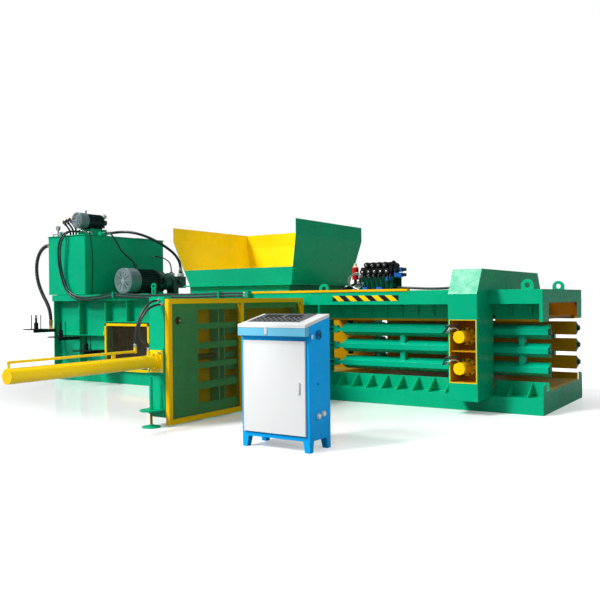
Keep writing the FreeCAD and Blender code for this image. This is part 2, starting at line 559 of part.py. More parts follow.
# ---------------------------------------------------------------- electric motors and pumps
class Motor:
    """A fan-cooled motor along +Y; all its pieces are worked out from the frame radius."""

    def __init__(self, x, fan_y, z, radius, cowl, body, feet_z):
        self.x, self.fan_y, self.z, self.radius = x, fan_y, z, radius
        self.cowl, self.body, self.feet_z = cowl, body, feet_z
        self.body_y = fan_y + cowl
        self.nose_y = self.body_y + body
        self.shaft = radius * 0.14

    def cover(self):
        at = (self.x, self.fan_y, self.z)
        wall = 4.0
        shell = rod(at, Y, self.radius, self.cowl).cut(
            rod((self.x, self.fan_y + wall, self.z), Y, self.radius - wall, self.cowl))
        shell = shell.makeFillet(self.radius * 0.09, [e for e in shell.Edges
                                 if abs(e.BoundBox.YMin - self.fan_y) < 0.01
                                 and abs(e.BoundBox.YMax - self.fan_y) < 0.01
                                 and e.BoundBox.XLength > 1.99 * self.radius])
        cuts = []
        for i in range(12):
            angle = math.radians(30 * i)
            slot = box(self.x + self.radius * 0.25, self.x + self.radius * 0.72, self.fan_y - 1,
                       self.fan_y + wall + 1, self.z - self.radius * 0.035,
                       self.z + self.radius * 0.035)
            slot.rotate(V(self.x, 0, self.z), Y, math.degrees(angle))
            cuts.append(slot)
        return shell.cut(Part.makeCompound(cuts))

    def housing(self):
        core = rod((self.x, self.body_y - 30, self.z), Y, self.radius * 0.82, self.body + 30)
        fins = []
        count = 28
        for i in range(count):
            fin = box(self.x - 3, self.x + 3, self.body_y + 6, self.nose_y - 30, self.z,
                      self.z + self.radius * 0.95)
            fin.rotate(V(self.x, 0, self.z), Y, 360.0 * i / count)
            fins.append(fin)
        collar = rod((self.x, self.body_y - 14, self.z), Y, self.radius - 4 - 0.5, 14)
        nose = rod((self.x, self.nose_y - 30, self.z), Y, self.radius * 0.97, 30)
        foot_top = self.z - self.radius * 0.7
        feet = [box(self.x - self.radius * 0.95, self.x + self.radius * 0.95, y, y + self.body * 0.22,
                    self.feet_z, self.feet_z + 16) for y in (self.body_y + self.body * 0.1,
                                                            self.body_y + self.body * 0.62)]
        webs = [box(self.x - self.radius * 0.6, self.x + self.radius * 0.6, y + 6,
                    y + self.body * 0.22 - 6, self.feet_z + 16, foot_top)
                for y in (self.body_y + self.body * 0.1, self.body_y + self.body * 0.62)]
        terminal = box(self.x - self.radius * 1.22, self.x - self.radius * 0.55,
                       self.body_y + self.body * 0.3, self.body_y + self.body * 0.7,
                       self.z + self.radius * 0.05, self.z + self.radius * 0.55)
        eye_y = self.body_y + self.body * 0.12
        stem = rod((self.x, eye_y, self.z + self.radius * 0.8), Z, self.radius * 0.07,
                   self.radius * 0.3)
        eye = Part.makeTorus(self.radius * 0.13, self.radius * 0.045,
                             V(self.x, eye_y, self.z + self.radius * 1.2), Y)
        whole = fuse([core, collar, nose, terminal, stem, eye] + fins + feet + webs)
        hollow = rod((self.x, self.body_y - 31, self.z), Y, self.shaft + RUNNING, self.body + 62)
        return whole.cut(hollow)

    def rotor(self, reach):
        """The shaft with its cooling fan; reach is how far the shaft runs past the nose."""
        start = self.fan_y + 30
        shaft = rod((self.x, start, self.z), Y, self.shaft, self.nose_y + reach - start)
        hub = rod((self.x, start + 10, self.z), Y, self.radius * 0.28, self.cowl * 0.3)
        blades = []
        for i in range(7):
            blade = box(self.x - 3, self.x + 3, start + 14, start + 10 + self.cowl * 0.3, self.z,
                        self.z + self.radius * 0.8)
            blade.rotate(V(self.x, 0, self.z), Y, 360.0 * i / 7)
            blades.append(blade)
        return fuse([shaft, hub] + blades)


PUMP_X = TANK_LEFT + TANK_LENGTH + 468.0
PUMP_Z = 1575.0
RAIL_TOP = 1375.0
pump_drive = Motor(PUMP_X, -505.0, PUMP_Z, 205.0, 210.0, 460.0, RAIL_TOP)
cooler_drive = Motor(COOLER_X, COOLER_FAN_Y, COOLER_Z, 132.0, 160.0, 320.0, COOLER_Z - COOLER_SHAFT)


def pump_rails():
    rails = [box(PUMP_X + dx - 40, PUMP_X + dx + 40, -260, 420, PLATFORM_TOP, RAIL_TOP)
             for dx in (-145.0, 145.0)]
    return rails


TANK_HOSE_PORT = 430.0
PUMP_HOSE_PORT = 630.0


def pump_unit():
    """Bell housing bolted to the motor's nose, the piston pump and its ports."""
    y = pump_drive.nose_y
    bell = pipe((PUMP_X, y, PUMP_Z), Y, 150, 120, 140)
    flange = pipe((PUMP_X, y, PUMP_Z), Y, 187, 120, 14)
    window = box(PUMP_X + 60, PUMP_X + 200, y + 40, y + 110, PUMP_Z - 50, PUMP_Z + 50)
    back = rod((PUMP_X, y + 140, PUMP_Z), Y, 172, 24)
    body = rod((PUMP_X, y + 164, PUMP_Z), Y, 122, 176)
    head = rod((PUMP_X, y + 340, PUMP_Z), Y, 148, 30)
    tail = box(PUMP_X - 95, PUMP_X + 95, y + 370, y + 690, PUMP_Z - 105, PUMP_Z + 90)
    port = rod((PUMP_X, y + TANK_HOSE_PORT, PUMP_Z + 80), Z, 34, 80)
    elbow = rod((PUMP_X + 30, y + PUMP_HOSE_PORT, PUMP_Z + 80), Z, 36, 95)
    side = rod((PUMP_X + 60, y + 540, PUMP_Z), X, 42, 85)
    foot = box(PUMP_X - 80, PUMP_X + 80, y + 400, y + 520, PLATFORM_TOP, PUMP_Z - 90)
    whole = fuse([bell.cut(window), flange.cut(window), back, body, head, tail, port, elbow, side, foot])
    return whole


def cooler_pump():
    y = cooler_drive.nose_y
    bell = pipe((COOLER_X, y, COOLER_Z), Y, 74, 52, 44)
    plate = rod((COOLER_X, y + 44, COOLER_Z), Y, 74, 10)
    body = rod((COOLER_X, y + 54, COOLER_Z), Y, 44, 80)
    port = rod((COOLER_X, y + 94, COOLER_Z - 90), Z, 18, 60)
    top = rod((COOLER_X, y + 94, COOLER_Z + 30), Z, 16, 45)
    return fuse([bell, plate, body, port, top])


# ---------------------------------------------------------------- tension frame and side panels
def frame_outline(inset=0.0):
    w = FRAME_HALF_WIDTH - inset
    c = FRAME_CHAMFER
    slope = math.hypot(c, FRAME_TOP - FRAME_SHOULDER)
    shift = inset * (slope - (FRAME_TOP - FRAME_SHOULDER)) / c
    shoulder = FRAME_SHOULDER - shift
    top = FRAME_TOP - inset
    cut = w - c * (top - shoulder) / (FRAME_TOP - FRAME_SHOULDER)
    return [(-w, FRAME_BOTTOM + inset), (-w, shoulder), (-cut, top), (cut, top), (w, shoulder),
            (w, FRAME_BOTTOM + inset)]


MOUNT_PLATE_Y = FRAME_HALF_WIDTH - 274
SHELF_Z = 670.0


def tension_frame():
    t = FRAME_PLATE
    top = ROOF_UNDERSIDE + 40
    outer = plate_x(frame_outline(), FRAME_X0, FRAME_X1)
    hollow = plate_x(frame_outline(t), FRAME_X0 + t, FRAME_X1 - t)
    opening = box(FRAME_X0 - 1, FRAME_X1 + 1, -FRAME_OPENING, FRAME_OPENING, FLOOR_BOTTOM, top)
    lining = box(FRAME_X0 + 1, FRAME_X1 - 1, -FRAME_OPENING - t, FRAME_OPENING + t,
                 FLOOR_BOTTOM - t, top + t)
    inner = [box(FRAME_X0 + t, FRAME_X1 - t, -MOUNT_PLATE_Y, -MOUNT_PLATE_Y + 30, FRAME_BOTTOM,
                 FRAME_SHOULDER),
             box(FRAME_X0 + t, FRAME_X1 - t, -FRAME_HALF_WIDTH + t, -MOUNT_PLATE_Y, SHELF_Z,
                 SHELF_Z + 14)]
    for z in (WINDOW_BOTTOM - t, WINDOW_TOP):
        inner.append(box(FRAME_X0 + t, FRAME_X1 - t, -FRAME_HALF_WIDTH + t, -MOUNT_PLATE_Y, z, z + t))
    stiff = both_sides(fuse(inner))
    ring = fuse([outer.cut(hollow)] + stiff + [lining]).cut(opening)
    cuts = []
    for sign in (-1, 1):
        y0, y1 = sorted((sign * (FRAME_HALF_WIDTH - t), sign * (FRAME_HALF_WIDTH + 1)))
        cuts.append(box(FRAME_X0 + t, FRAME_X1 - t, y0, y1, WINDOW_BOTTOM, WINDOW_TOP))
        for z in CLAMP_HEIGHTS:
            y2 = min(sign * FRAME_OPENING, sign * MOUNT_PLATE_Y) - 30
            cuts.append(rod((CLAMP_X, y2, z), Y, CLAMP_ROD / 2 + 12 + CLEAR,
                            MOUNT_PLATE_Y - FRAME_OPENING + 70))
    return ring.cut(Part.makeCompound(cuts))


CLAMP_BACK = FRAME_HALF_WIDTH - 4


def clamp_cylinders():
    """Short cylinders, two to a side, each with a round flange on the frame's mounting plate."""
    front = []
    for z in CLAMP_HEIGHTS:
        body = rod((CLAMP_X, -CLAMP_BACK, z), Y, CLAMP_CYLINDER / 2, CLAMP_BACK - MOUNT_PLATE_Y)
        flange = rod((CLAMP_X, -MOUNT_PLATE_Y - 28, z), Y, 98, 28)
        spigot = rod((CLAMP_X, -MOUNT_PLATE_Y, z), Y, CLAMP_ROD / 2 + 12, 30)
        port = fuse([box(CLAMP_X - 88, CLAMP_X - 54, -CLAMP_BACK + 60, -CLAMP_BACK + 100, z + 10, z + 50),
                     rod((FRAME_X0 + FRAME_PLATE + CLEAR, -CLAMP_BACK + 80, z + 30), X, 12, 50)])
        bore = rod((CLAMP_X, -CLAMP_BACK + 20, z), Y, CLAMP_BORE / 2,
                   CLAMP_BACK - 20 - MOUNT_PLATE_Y - 10)
        gland = rod((CLAMP_X, -MOUNT_PLATE_Y - 11, z), Y, CLAMP_ROD / 2, 60)
        front.append(fuse([body, flange, spigot, port]).cut(bore).cut(gland))
    return [s for shape in front for s in both_sides(shape)]


def clamp_rods():
    """The front pair of rods with their pressure pads, just clear of the side panel."""
    rods = []
    nose = BAR_OUTER_Y + CLEAR
    for z in CLAMP_HEIGHTS:
        piston = rod((CLAMP_X, -CLAMP_BACK + 50, z), Y, CLAMP_BORE / 2 - RUNNING, 40)
        shaft = rod((CLAMP_X, -CLAMP_BACK + 90, z), Y, CLAMP_ROD / 2 - RUNNING,
                    CLAMP_BACK - 90 - nose - 4)
        pad = cone((CLAMP_X, -nose - 4, z), Y, CLAMP_ROD / 2 - RUNNING, 8, 4)
        rods.append(fuse([piston, shaft, pad]))
    return rods


STRAP_X = (2214.0, 3646.0)


def bar_profile(z, inset=0.0):
    half, face = BAR_HEIGHT / 2 - inset, BAR_FACE / 2 - inset * 0.55
    y0, y1 = -BAR_INNER_Y - inset, -BAR_OUTER_Y + inset
    return [(y0, z - half), (y0, z + half), (y1, z + face), (y1, z - face)]


def side_panel():
    """The front slatted wall of the bale channel: three half-hexagon bars on one swinging frame."""
    pieces = []
    for z in BAR_CENTRES:
        skin = plate_x(bar_profile(z), BAR_LEFT, BAR_RIGHT)
        core = plate_x(bar_profile(z, BAR_WALL), BAR_LEFT + BAR_WALL, BAR_RIGHT - BAR_WALL)
        pieces.append(skin.cut(core))
        pieces.append(rod((BAR_RIGHT - 6, -BAR_OUTER_Y + 45, z), X, 30, 28))
        pieces.append(box(HINGE_X, BAR_LEFT, -HINGE_Y - 42, -HINGE_Y + 42, z - TONGUE / 2,
                          z + TONGUE / 2))
        pieces.append(rod((HINGE_X, -HINGE_Y, z - TONGUE / 2), Z, 42, TONGUE))
    for x in STRAP_X:
        pieces.append(box(x - 30, x + 30, -BAR_OUTER_Y + 40, -BAR_INNER_Y - 12,
                          BAR_CENTRES[0] + 40, BAR_CENTRES[-1] - 40))
    low, high = CLAMP_HEIGHTS[0] - 70, CLAMP_HEIGHTS[1] + 70
    pieces.append(box(FRAME_X - 100, FRAME_X + 100, -BAR_OUTER_Y, -BAR_OUTER_Y + 50, low, high))
    whole = fuse(pieces)
    return whole.cut(rod((HINGE_X, -HINGE_Y, 0), Z, HINGE_PIN / 2 + RUNNING, BEAM_TOP))


def panel_pins():
    pins = []
    reach = TONGUE / 2 + CLEAR + EAR
    for z in BAR_CENTRES:
        pin = fuse([rod((HINGE_X, -HINGE_Y, z - reach - 10), Z, HINGE_PIN / 2, 2 * reach + 10),
                    rod((HINGE_X, -HINGE_Y, z + reach), Z, HINGE_PIN / 2 + 9, 10)])
        pins += both_sides(pin)
    return pins


# ---------------------------------------------------------------- rail, lugs, valves, deck
LUGS = ((CHAMBER_RIGHT + 10.0, HALF_WIDTH - 100.0), (HALF_LENGTH - 220.0, SILL_Y + 13.0))
LUG_Z = BEAM_TOP + 42.0
LUG_BORE = 30.0
LUG_THICK = 25.0


WIRE_RAIL_LEFT = 112.0
WIRE_RAIL_RIGHT = 2388.0


def wire_rail():
    return box(WIRE_RAIL_LEFT, WIRE_RAIL_RIGHT, -HALF_WIDTH - 8, -HALF_WIDTH + 60, BEAM_TOP, BEAM_TOP + 28)


def lifting_lugs():
    lugs = []
    for x, side in LUGS:
        for y in (-side, side):
            eye = rod((x, y - LUG_THICK / 2, LUG_Z), Y, 70, LUG_THICK)
            foot = box(x - 70, x + 70, y - LUG_THICK / 2, y + LUG_THICK / 2, BEAM_TOP, LUG_Z)
            bore = rod((x, y - LUG_THICK, LUG_Z + 5), Y, LUG_BORE, 2 * LUG_THICK)
            below = box(x - 90, x + 90, y - 50, y + 50, BEAM_TOP - 90, BEAM_TOP)
            lugs.append(fuse([eye, foot]).cut(bore).cut(below))
    return lugs


def transport_link():
    """The long pad eye that stands on the front beam beside the platform."""
    y = -HALF_WIDTH + 12
    eye = rod((0, y - 10, 130), Y, 48, 20)
    strap = box(-40, 40, y - 10, y + 10, 0, 130)
    hole = rod((0, y - 20, 132), Y, 22, 40)
    slot = box(-14, 14, y - 20, y + 20, 30, 90)
    link = fuse([eye, strap]).cut(hole).cut(slot)
    link.translate(V(-1690, 0, BEAM_TOP))
    return link


VALVE_LEFT = 1520.0
VALVE_RIGHT = 1960.0
VALVE_BOTTOM = 1524.0


def top_deck():
    reach = SILL_Y + 60
    plates = [box(HOPPER_FLOOR_RIGHT + 40, FRAME_X0 - 5, -reach, reach, BEAM_TOP, BEAM_TOP + 10),
              box(PLATFORM_RIGHT, FEED_LEFT - WEB, -reach, reach, BEAM_TOP, BEAM_TOP + 10)]
    x0, x1, z = VALVE_LEFT - 20, VALVE_RIGHT + 20, VALVE_BOTTOM
    stand = [box(x0, x1, -420, -408, BEAM_TOP + 10, z), box(x0, x1, -180, -168, BEAM_TOP + 10, z),
             box(x0, x1, -420, -168, z - 12, z)]
    return [fuse([plates[0]] + stand), plates[1]]


def valve_block():
    block = box(VALVE_LEFT, VALVE_RIGHT, -400, -190, VALVE_BOTTOM, VALVE_BOTTOM + 126)
    caps = []
    for i in range(5):
        caps.append(rod((VALVE_LEFT + 50 + 85 * i, -460, VALVE_BOTTOM + 66), Y, 30, 60))
        caps.append(rod((VALVE_LEFT + 50 + 85 * i, -295, VALVE_BOTTOM + 126), Z, 34, 60))
    base = box(VALVE_LEFT + 40, VALVE_RIGHT - 40, -380, -210, BEAM_TOP + 10, VALVE_BOTTOM - 84)
    return [fuse([block] + caps), base]


def solenoids():
    coils = []
    for z in (VALVE_BOTTOM + 21, VALVE_BOTTOM + 86):
        coils.append(fuse([box(VALVE_RIGHT + 20, VALVE_RIGHT + 120, -380, -320, z - 25, z + 25),
                           rod((VALVE_RIGHT, -350, z), X, 14, 20),
                           rod((VALVE_RIGHT + 120, -350, z), X, 16, 40)]))
    for x in (1620.0, 1820.0):
        coils.append(box(x - 35, x + 35, -490, -425, BEAM_TOP + 10, BEAM_TOP + 60))
    return coils


def accumulator():
    x, y, z = VALVE_LEFT - 120, -330, VALVE_BOTTOM - 24
    bottle = rod((x, y, z), Z, 42, 150)
    neck = cone((x, y, z + 150), Z, 42, 20, 30)
    collar = rod((x, y, z + 180), Z, 20, 30)
    foot = rod((x, y, BEAM_TOP + 10), Z, 20, z - BEAM_TOP - 10)
    return fuse([bottle, neck, collar, foot])


# ---------------------------------------------------------------- tying unit
PLATE_FRONT = (885.0, 900.0)
PLATE_BACK = (738.0, 750.0)
GUIDE_BOTTOM = 66.0
GUIDE_TOP = 1240.0
WINDOW_HALF = 70.0
COLUMN_X = (713.0, 913.0)
COLUMN_BOTTOM = 90.0
COLUMN_TOP = 1290.0
JACK_Y = -3446.0
JACK_HOSE_A = ((850, -3355, 1255), (850, -3425, 1255), (844, -3502, 1222), (830, -3562, 1150),
               (814, -3604, 1055), (802, -3628, 960), (799, -3636, 872), (799, -3636, 802))
JACK_HOSE_B = ((893, -3355, 1215), (893, -3430, 1215), (880, -3520, 1185), (862, -3590, 1115),
               (842, -3622, 1025), (830, -3618, 940), (822, -3580, 872), (819, -3520, 846),
               (819, -3480, 822), (819, -3480, 762))


def needle_guides():
    """Windowed front plate, plain back plate, top and bottom rails and the end column, welded."""
    y0, y1 = UNIT_END_Y + 110, -HALF_WIDTH
    front = box(*PLATE_FRONT, y0, y1, GUIDE_BOTTOM, GUIDE_TOP)
    cuts = []
    for z in WINDOW_ROWS:
        for a, b in ((-2837.0, -2150.0), (-2020.0, -1000.0)):
            cuts.append(box(PLATE_FRONT[0] - 1, PLATE_FRONT[1] + 1, a, b, z - WINDOW_HALF,
                            z + WINDOW_HALF))
    front = front.cut(Part.makeCompound(cuts))
    back = box(*PLATE_BACK, y0, y1, GUIDE_BOTTOM, GUIDE_TOP)
    top = box(PLATE_BACK[1], PLATE_FRONT[0], y0, y1, GUIDE_TOP - 12, GUIDE_TOP)
    bottom = box(PLATE_BACK[1], PLATE_FRONT[0], y0, y1, GUIDE_BOTTOM, GUIDE_BOTTOM + 12)
    column = box(*COLUMN_X, UNIT_END_Y, y0, COLUMN_BOTTOM, COLUMN_TOP)
    column = column.cut(box(COLUMN_X[0] + 10, COLUMN_X[1] - 10, UNIT_END_Y + 12, y0 - 12,
                            COLUMN_BOTTOM - 1, COLUMN_TOP - 10))
    tab = fuse([box(NEEDLE_X - 118, NEEDLE_X + 94, JACK_Y, UNIT_END_Y, 160, 175),
                rod((NEEDLE_X - 12, JACK_Y, 160), Z, 106, 15)])
    clamp = box(NEEDLE_X - 110, NEEDLE_X + 94, UNIT_END_Y - 20, UNIT_END_Y, NEEDLE_AXIS_Z - 130,
                NEEDLE_AXIS_Z + 130)
    studs = [box(PLATE_FRONT[1], GUARD_X, y, y + 40, z, z + 40)
             for y in (UNIT_END_Y + 55, GUARD_MID_Y - 11, -HALF_WIDTH - 100)
             for z in (GUIDE_BOTTOM + 10, GUIDE_TOP - 60)]
    knob_at = (PLATE_FRONT[1], UNIT_END_Y + 214, GUIDE_TOP - 193)
    knob = fuse([rod(knob_at, X, 24, 12), rod(knob_at, X, 13, 24)])
    hole = rod((NEEDLE_X, UNIT_END_Y - 30, NEEDLE_AXIS_Z), Y, NEEDLE_ROD / 2 + 12 + CLEAR, 200)
    screw = rod((NEEDLE_X - 3, JACK_Y, 100), Z, 13, 200)
    end = fuse([column, tab, clamp] + studs[:2]).cut(hole).cut(screw)
    return [fuse([front, knob] + studs[2:]), back, top, bottom, end]


def levelling_foot():
    screw = rod((NEEDLE_X - 3, JACK_Y, 12), Z, 13, 486)
    nuts = [rod((NEEDLE_X - 3, JACK_Y, 175), Z, 24, 22), rod((NEEDLE_X - 3, JACK_Y, 138), Z, 24, 22)]
    disc = cone((NEEDLE_X - 3, JACK_Y, 0), Z, 94, 90, 12)
    collar = rod((NEEDLE_X - 3, JACK_Y, 12), Z, 26, 16)
    sleeve = rod((NEEDLE_X - 3, JACK_Y, 197), Z, 17, 288)
    return fuse([screw, disc, collar, sleeve] + nuts)


def needle_cylinder():
    y_head = UNIT_END_Y - 20
    barrel = rod((NEEDLE_X, CYLINDER_END_Y, NEEDLE_AXIS_Z), Y, NEEDLE_BARREL / 2,
                 y_head - CYLINDER_END_Y)
    flange = box(NEEDLE_X - 95, NEEDLE_X + 95, y_head - 24, y_head, NEEDLE_AXIS_Z - 110,
                 NEEDLE_AXIS_Z + 110)
    neck = rod((NEEDLE_X, y_head - 60, NEEDLE_AXIS_Z), Y, 84, 36)
    spigot = rod((NEEDLE_X, y_head, NEEDLE_AXIS_Z), Y, NEEDLE_ROD / 2 + 12, 32)
    pipe_x, pipe_z = JACK_HOSE_A[-1][0], NEEDLE_AXIS_Z + 112
    y_knee = CYLINDER_END_Y + 32
    feed = rod((pipe_x, y_knee, pipe_z), Y, 12, JACK_HOSE_A[-1][1] - y_knee)
    knee = fuse([rod((pipe_x, y_knee, NEEDLE_AXIS_Z + 40), Z, 12, pipe_z - NEEDLE_AXIS_Z - 40),
                 Part.makeSphere(15, V(pipe_x, y_knee, pipe_z))])
    rise = rod((pipe_x, JACK_HOSE_A[-1][1], pipe_z - 18), Z, 15, JACK_HOSE_A[-1][2] - pipe_z + 18)
    stay = box(pipe_x - 8, pipe_x + 8, y_head - 560, y_head - 520, NEEDLE_AXIS_Z + 40, pipe_z)
    port = rod((NEEDLE_X, JACK_HOSE_B[-1][1], NEEDLE_AXIS_Z + 40), Z, 15,
               JACK_HOSE_B[-1][2] - NEEDLE_AXIS_Z - 40)
    whole = fuse([barrel, flange, neck, spigot, feed, knee, rise, stay, port])
    bore = rod((NEEDLE_X, CYLINDER_END_Y + 15, NEEDLE_AXIS_Z), Y, NEEDLE_BORE / 2,
               y_head - 45 - CYLINDER_END_Y - 15)
    gland = rod((NEEDLE_X, y_head - 46, NEEDLE_AXIS_Z), Y, NEEDLE_ROD / 2, 100)
    return whole.cut(bore).cut(gland)


KNOTTER_X = (576.0, 1149.0)
KNOTTER_WALL = 6.0


def knotter_housing():
    """The closed housing over the needle slots of the far chamber wall, a cover for each wire."""
    y0, y1 = CHAMBER_Y + CHAMBER_WALL, HALF_WIDTH - 20
    z0, z1 = SILL_TOP + 8, ROOF_UNDERSIDE - 8
    t = KNOTTER_WALL
    shell = box(*KNOTTER_X, y0, y1, z0, z1).cut(
        box(KNOTTER_X[0] + t, KNOTTER_X[1] - t, y0 - 1, y1 - t, z0 + t, z1 - t))
    covers = [rod((NEEDLE_X, y1, z), Y, 48, 18) for z in NEEDLE_HEIGHTS]
    drive = box(NEEDLE_X + 110, NEEDLE_X + 230, y1, y1 + 60, NEEDLE_HEIGHTS[0] + 10,
                NEEDLE_HEIGHTS[-1] - 10)
    return fuse([shell, drive] + covers)


CARRIAGE_BACK_Y = CARRIAGE_FRONT_Y - 110.0
NEEDLE_TIP_Y = -HALF_WIDTH - 40.0


def needle_rod():
    piston = rod((NEEDLE_X, CYLINDER_END_Y + 60, NEEDLE_AXIS_Z), Y, NEEDLE_BORE / 2 - RUNNING, 50)
    start = CYLINDER_END_Y + 110
    shaft = rod((NEEDLE_X, start, NEEDLE_AXIS_Z), Y, NEEDLE_ROD / 2 - RUNNING, CARRIAGE_BACK_Y - start)
    return fuse([piston, shaft])


def needle_carriage():
    """The upright beam that the cylinder pushes, with five tying needles."""
    low, high = GUIDE_BOTTOM + 12 + CLEAR, GUIDE_TOP - 12 - CLEAR
    beam = box(NEEDLE_X - 60, NEEDLE_X + 60, CARRIAGE_BACK_Y, CARRIAGE_FRONT_Y, low, high)
    sides = [box(NEEDLE_X + s, NEEDLE_X + s + 50, CARRIAGE_BACK_Y + 12, CARRIAGE_FRONT_Y - 12,
                 low + 12, high - 12) for s in (-61.0, 11.0)]
    beam = beam.cut(Part.makeCompound(sides))
    needles = []
    for z in NEEDLE_HEIGHTS:
        w, h = NEEDLE_WIDTH / 2, NEEDLE_HEIGHT / 2
        body = box(NEEDLE_X - w, NEEDLE_X + w, CARRIAGE_FRONT_Y, NEEDLE_TIP_Y - 80, z - h, z + h)
        tip = face_of([(NEEDLE_X - w, NEEDLE_TIP_Y - 80, z - h), (NEEDLE_X - w, NEEDLE_TIP_Y, z - 8),
                       (NEEDLE_X - w, NEEDLE_TIP_Y, z + 8), (NEEDLE_X - w, NEEDLE_TIP_Y - 80, z + h)]
                      ).extrude(V(2 * w, 0, 0))
        needles += [body, tip]
    return fuse([beam] + needles)


def guard_frame():
    t = GUARD_TUBE
    x0, x1 = GUARD_X, GUARD_X + t
    posts = [box(x0, x1, y, y + t, GUARD_BOTTOM, GUARD_TOP)
             for y in (UNIT_END_Y, GUARD_MID_Y - t / 2, GUARD_END_Y - t)]
    rails = [box(x0, x1, UNIT_END_Y, GUARD_END_Y, z, z + t) for z in (GUARD_BOTTOM, GUARD_TOP - t)]
    return fuse(posts + rails)


def guard_mesh():
    """Perforated sheets in the two bays of the guard."""
    t = GUARD_TUBE
    bays = ((UNIT_END_Y + t, GUARD_MID_Y - t / 2), (GUARD_MID_Y + t / 2, GUARD_END_Y - t))
    sheets = []
    for a, b in bays:
        sheet = box(GUARD_X + 20, GUARD_X + 23, a, b, GUARD_BOTTOM + t, GUARD_TOP - t)
        columns, rows = 8, 7
        dy = (b - a) / columns
        dz = (GUARD_TOP - GUARD_BOTTOM - 2 * t) / rows
        holes = []
        for i in range(columns):
            for j in range(rows):
                holes.append(box(GUARD_X + 10, GUARD_X + 30, a + i * dy + 12, a + (i + 1) * dy - 12,
                                 GUARD_BOTTOM + t + j * dz + 12, GUARD_BOTTOM + t + (j + 1) * dz - 12))
        sheets.append(sheet.cut(Part.makeCompound(holes)))
    return sheets


# ---------------------------------------------------------------- wire reels
REELS = ((-HALF_LENGTH + 24, 825.0), (-3319.0, 717.0), (-2744.0, 522.0))
REEL_ARM = 40.0
REEL_Y = -1220.0
REEL_RADIUS = 200.0
SPINDLE = 12.0


def reel_arms():
    arms = []
    for x, z in REELS:
        arm = box(x - REEL_ARM / 2, x + REEL_ARM / 2, REEL_Y - 40, -HALF_WIDTH, z - 60, z - 12)
        spindle = rod((x, REEL_Y, z - 12), Z, SPINDLE, 190)
        arms.append(fuse([arm, spindle]))
    return arms


def wire_reel(x, z):
    low = z - 12 + CLEAR
    disc = rod((x, REEL_Y, low), Z, REEL_RADIUS, 10)
    hub = rod((x, REEL_Y, low), Z, 34, 110)
    rods = []
    for i in range(4):
        angle = math.radians(45 + 90 * i)
        at = (x + 70 * math.cos(angle), REEL_Y + 70 * math.sin(angle), low)
        rods.append(rod(at, Z, 7, 235))
    return fuse([disc, hub] + rods).cut(rod((x, REEL_Y, low - 1), Z, SPINDLE + RUNNING, 260))


# ---------------------------------------------------------------- hoses, their fittings and clips
FRONT_HOSE = 28.0
RIBBED_HOSE = 60.0
RIBBED_WALL = 4.0
RIBS = 34
RIB_FORM = ((0.1, 0.84), (0.5, 1.0), (0.9, 0.84))
PUMP_HOSE = 46.0
CABLE = 26.0
TANK_HOSE = 22.0
JACK_HOSE = 24.0
DECK_HOSE = 30.0

FRONT_DROP = ((0, 0, 0), (0, -115, 0), (-14, -236, -8), (-45, -334, -92), (-84, -358, -238),
              (-106, -350, -420), (-96, -330, -620), (-50, -316, -800), (30, -314, -960))
LEDGE_RUN = ((-3420, 1332), (-3190, 1272), (-2850, 1290), (-2470, 1340), (-2080, 1312),
             (-1680, 1296), (-1260, 1304), (-840, 1298), (-398, 1311), (-100, 1310), (60, 1310))
LEDGE_Y = -HALF_WIDTH - 54.0
CLIP_X = (-2470.0, -398.0)


def front_hose_route(second):
    """The pair runs from the lid's outlet block over the tank's front and along the ledge."""
    apart, lift = (FRONT_HOSE_STEP, 36.0) if second else (0.0, 0.0)
    points = []
    for i, (dx, dy, dz) in enumerate(FRONT_DROP):
        closer = apart * (1 - 0.05 * max(i - 1, 0))
        points.append((FRONT_HOSE_X + dx + closer, FRONT_HOSE_Y + dy,
                       FRONT_HOSE_Z + dz + lift * max(i - 5, 0) / 4))
    return points + [(x, LEDGE_Y, z + lift) for x, z in LEDGE_RUN]


def front_hoses():
    return [hose("front hose", front_hose_route(second), FRONT_HOSE) for second in (False, True)]


RIBBED_START = (TANK_LEFT, -820.0, 2180.0)
RIBBED_RUNS = ((100, 0), (112, 21), (115, 42), (118, 62), (125, 79), (135, 93), (140, 106),
               (145, 117), (140, 125), (130, 129), (120, 117), (112, 103), (100, 90))


def ribbed_route():
    """Runs of a length and a slope, sagging outwards from the tank's side and back in."""
    x, y, z = RIBBED_START
    points = [(x, y, z)]
    for run, slope in RIBBED_RUNS:
        x -= run * math.cos(math.radians(slope))
        z -= run * math.sin(math.radians(slope))
        points.append((x, y, z))
    return points


def ribbed_hose():
    """A bored hose with a rib at every step, its circles keeping a steady X axis."""
    path, radii = hose_path(ribbed_route())
    length = path.Length
    end = RIBBED_HOSE
    pitch = (length - 2 * end) / RIBS
    stations = [(0.0, 0.84), (end, 0.84)]
    for i in range(RIBS):
        s = end + i * pitch
        stations += [(s + part * pitch, size) for part, size in RIB_FORM]
    stations.append((length, 0.84))
    reach = [0.0]
    for e in path.Edges:
        reach.append(reach[-1] + e.Length)

    def place(s):
        i = next(k for k in range(len(path.Edges)) if s <= reach[k + 1] + 1e-6)
        e = path.Edges[i]
        t = e.getParameterByLength(min(s - reach[i], e.Length))
        return e.valueAt(t), e.tangentAt(t)

    def ring(s, radius):
        at, along = place(s)
        flat = along.cross(Y)
        flat.normalize()
        circle = Part.Circle(at, along, radius)
        circle.XAxis = flat
        return Part.Wire([circle.toShape()])

    outer = Part.makeLoft([ring(s, RIBBED_HOSE / 2 * k) for s, k in stations], True, True)
    inner = path.makePipeShell([ring(0.0, RIBBED_HOSE * 0.43 - RIBBED_WALL)], True, False)
    print("ribbed hose radii", [round(r) for r in radii], "length", round(length))
    return outer.cut(inner)


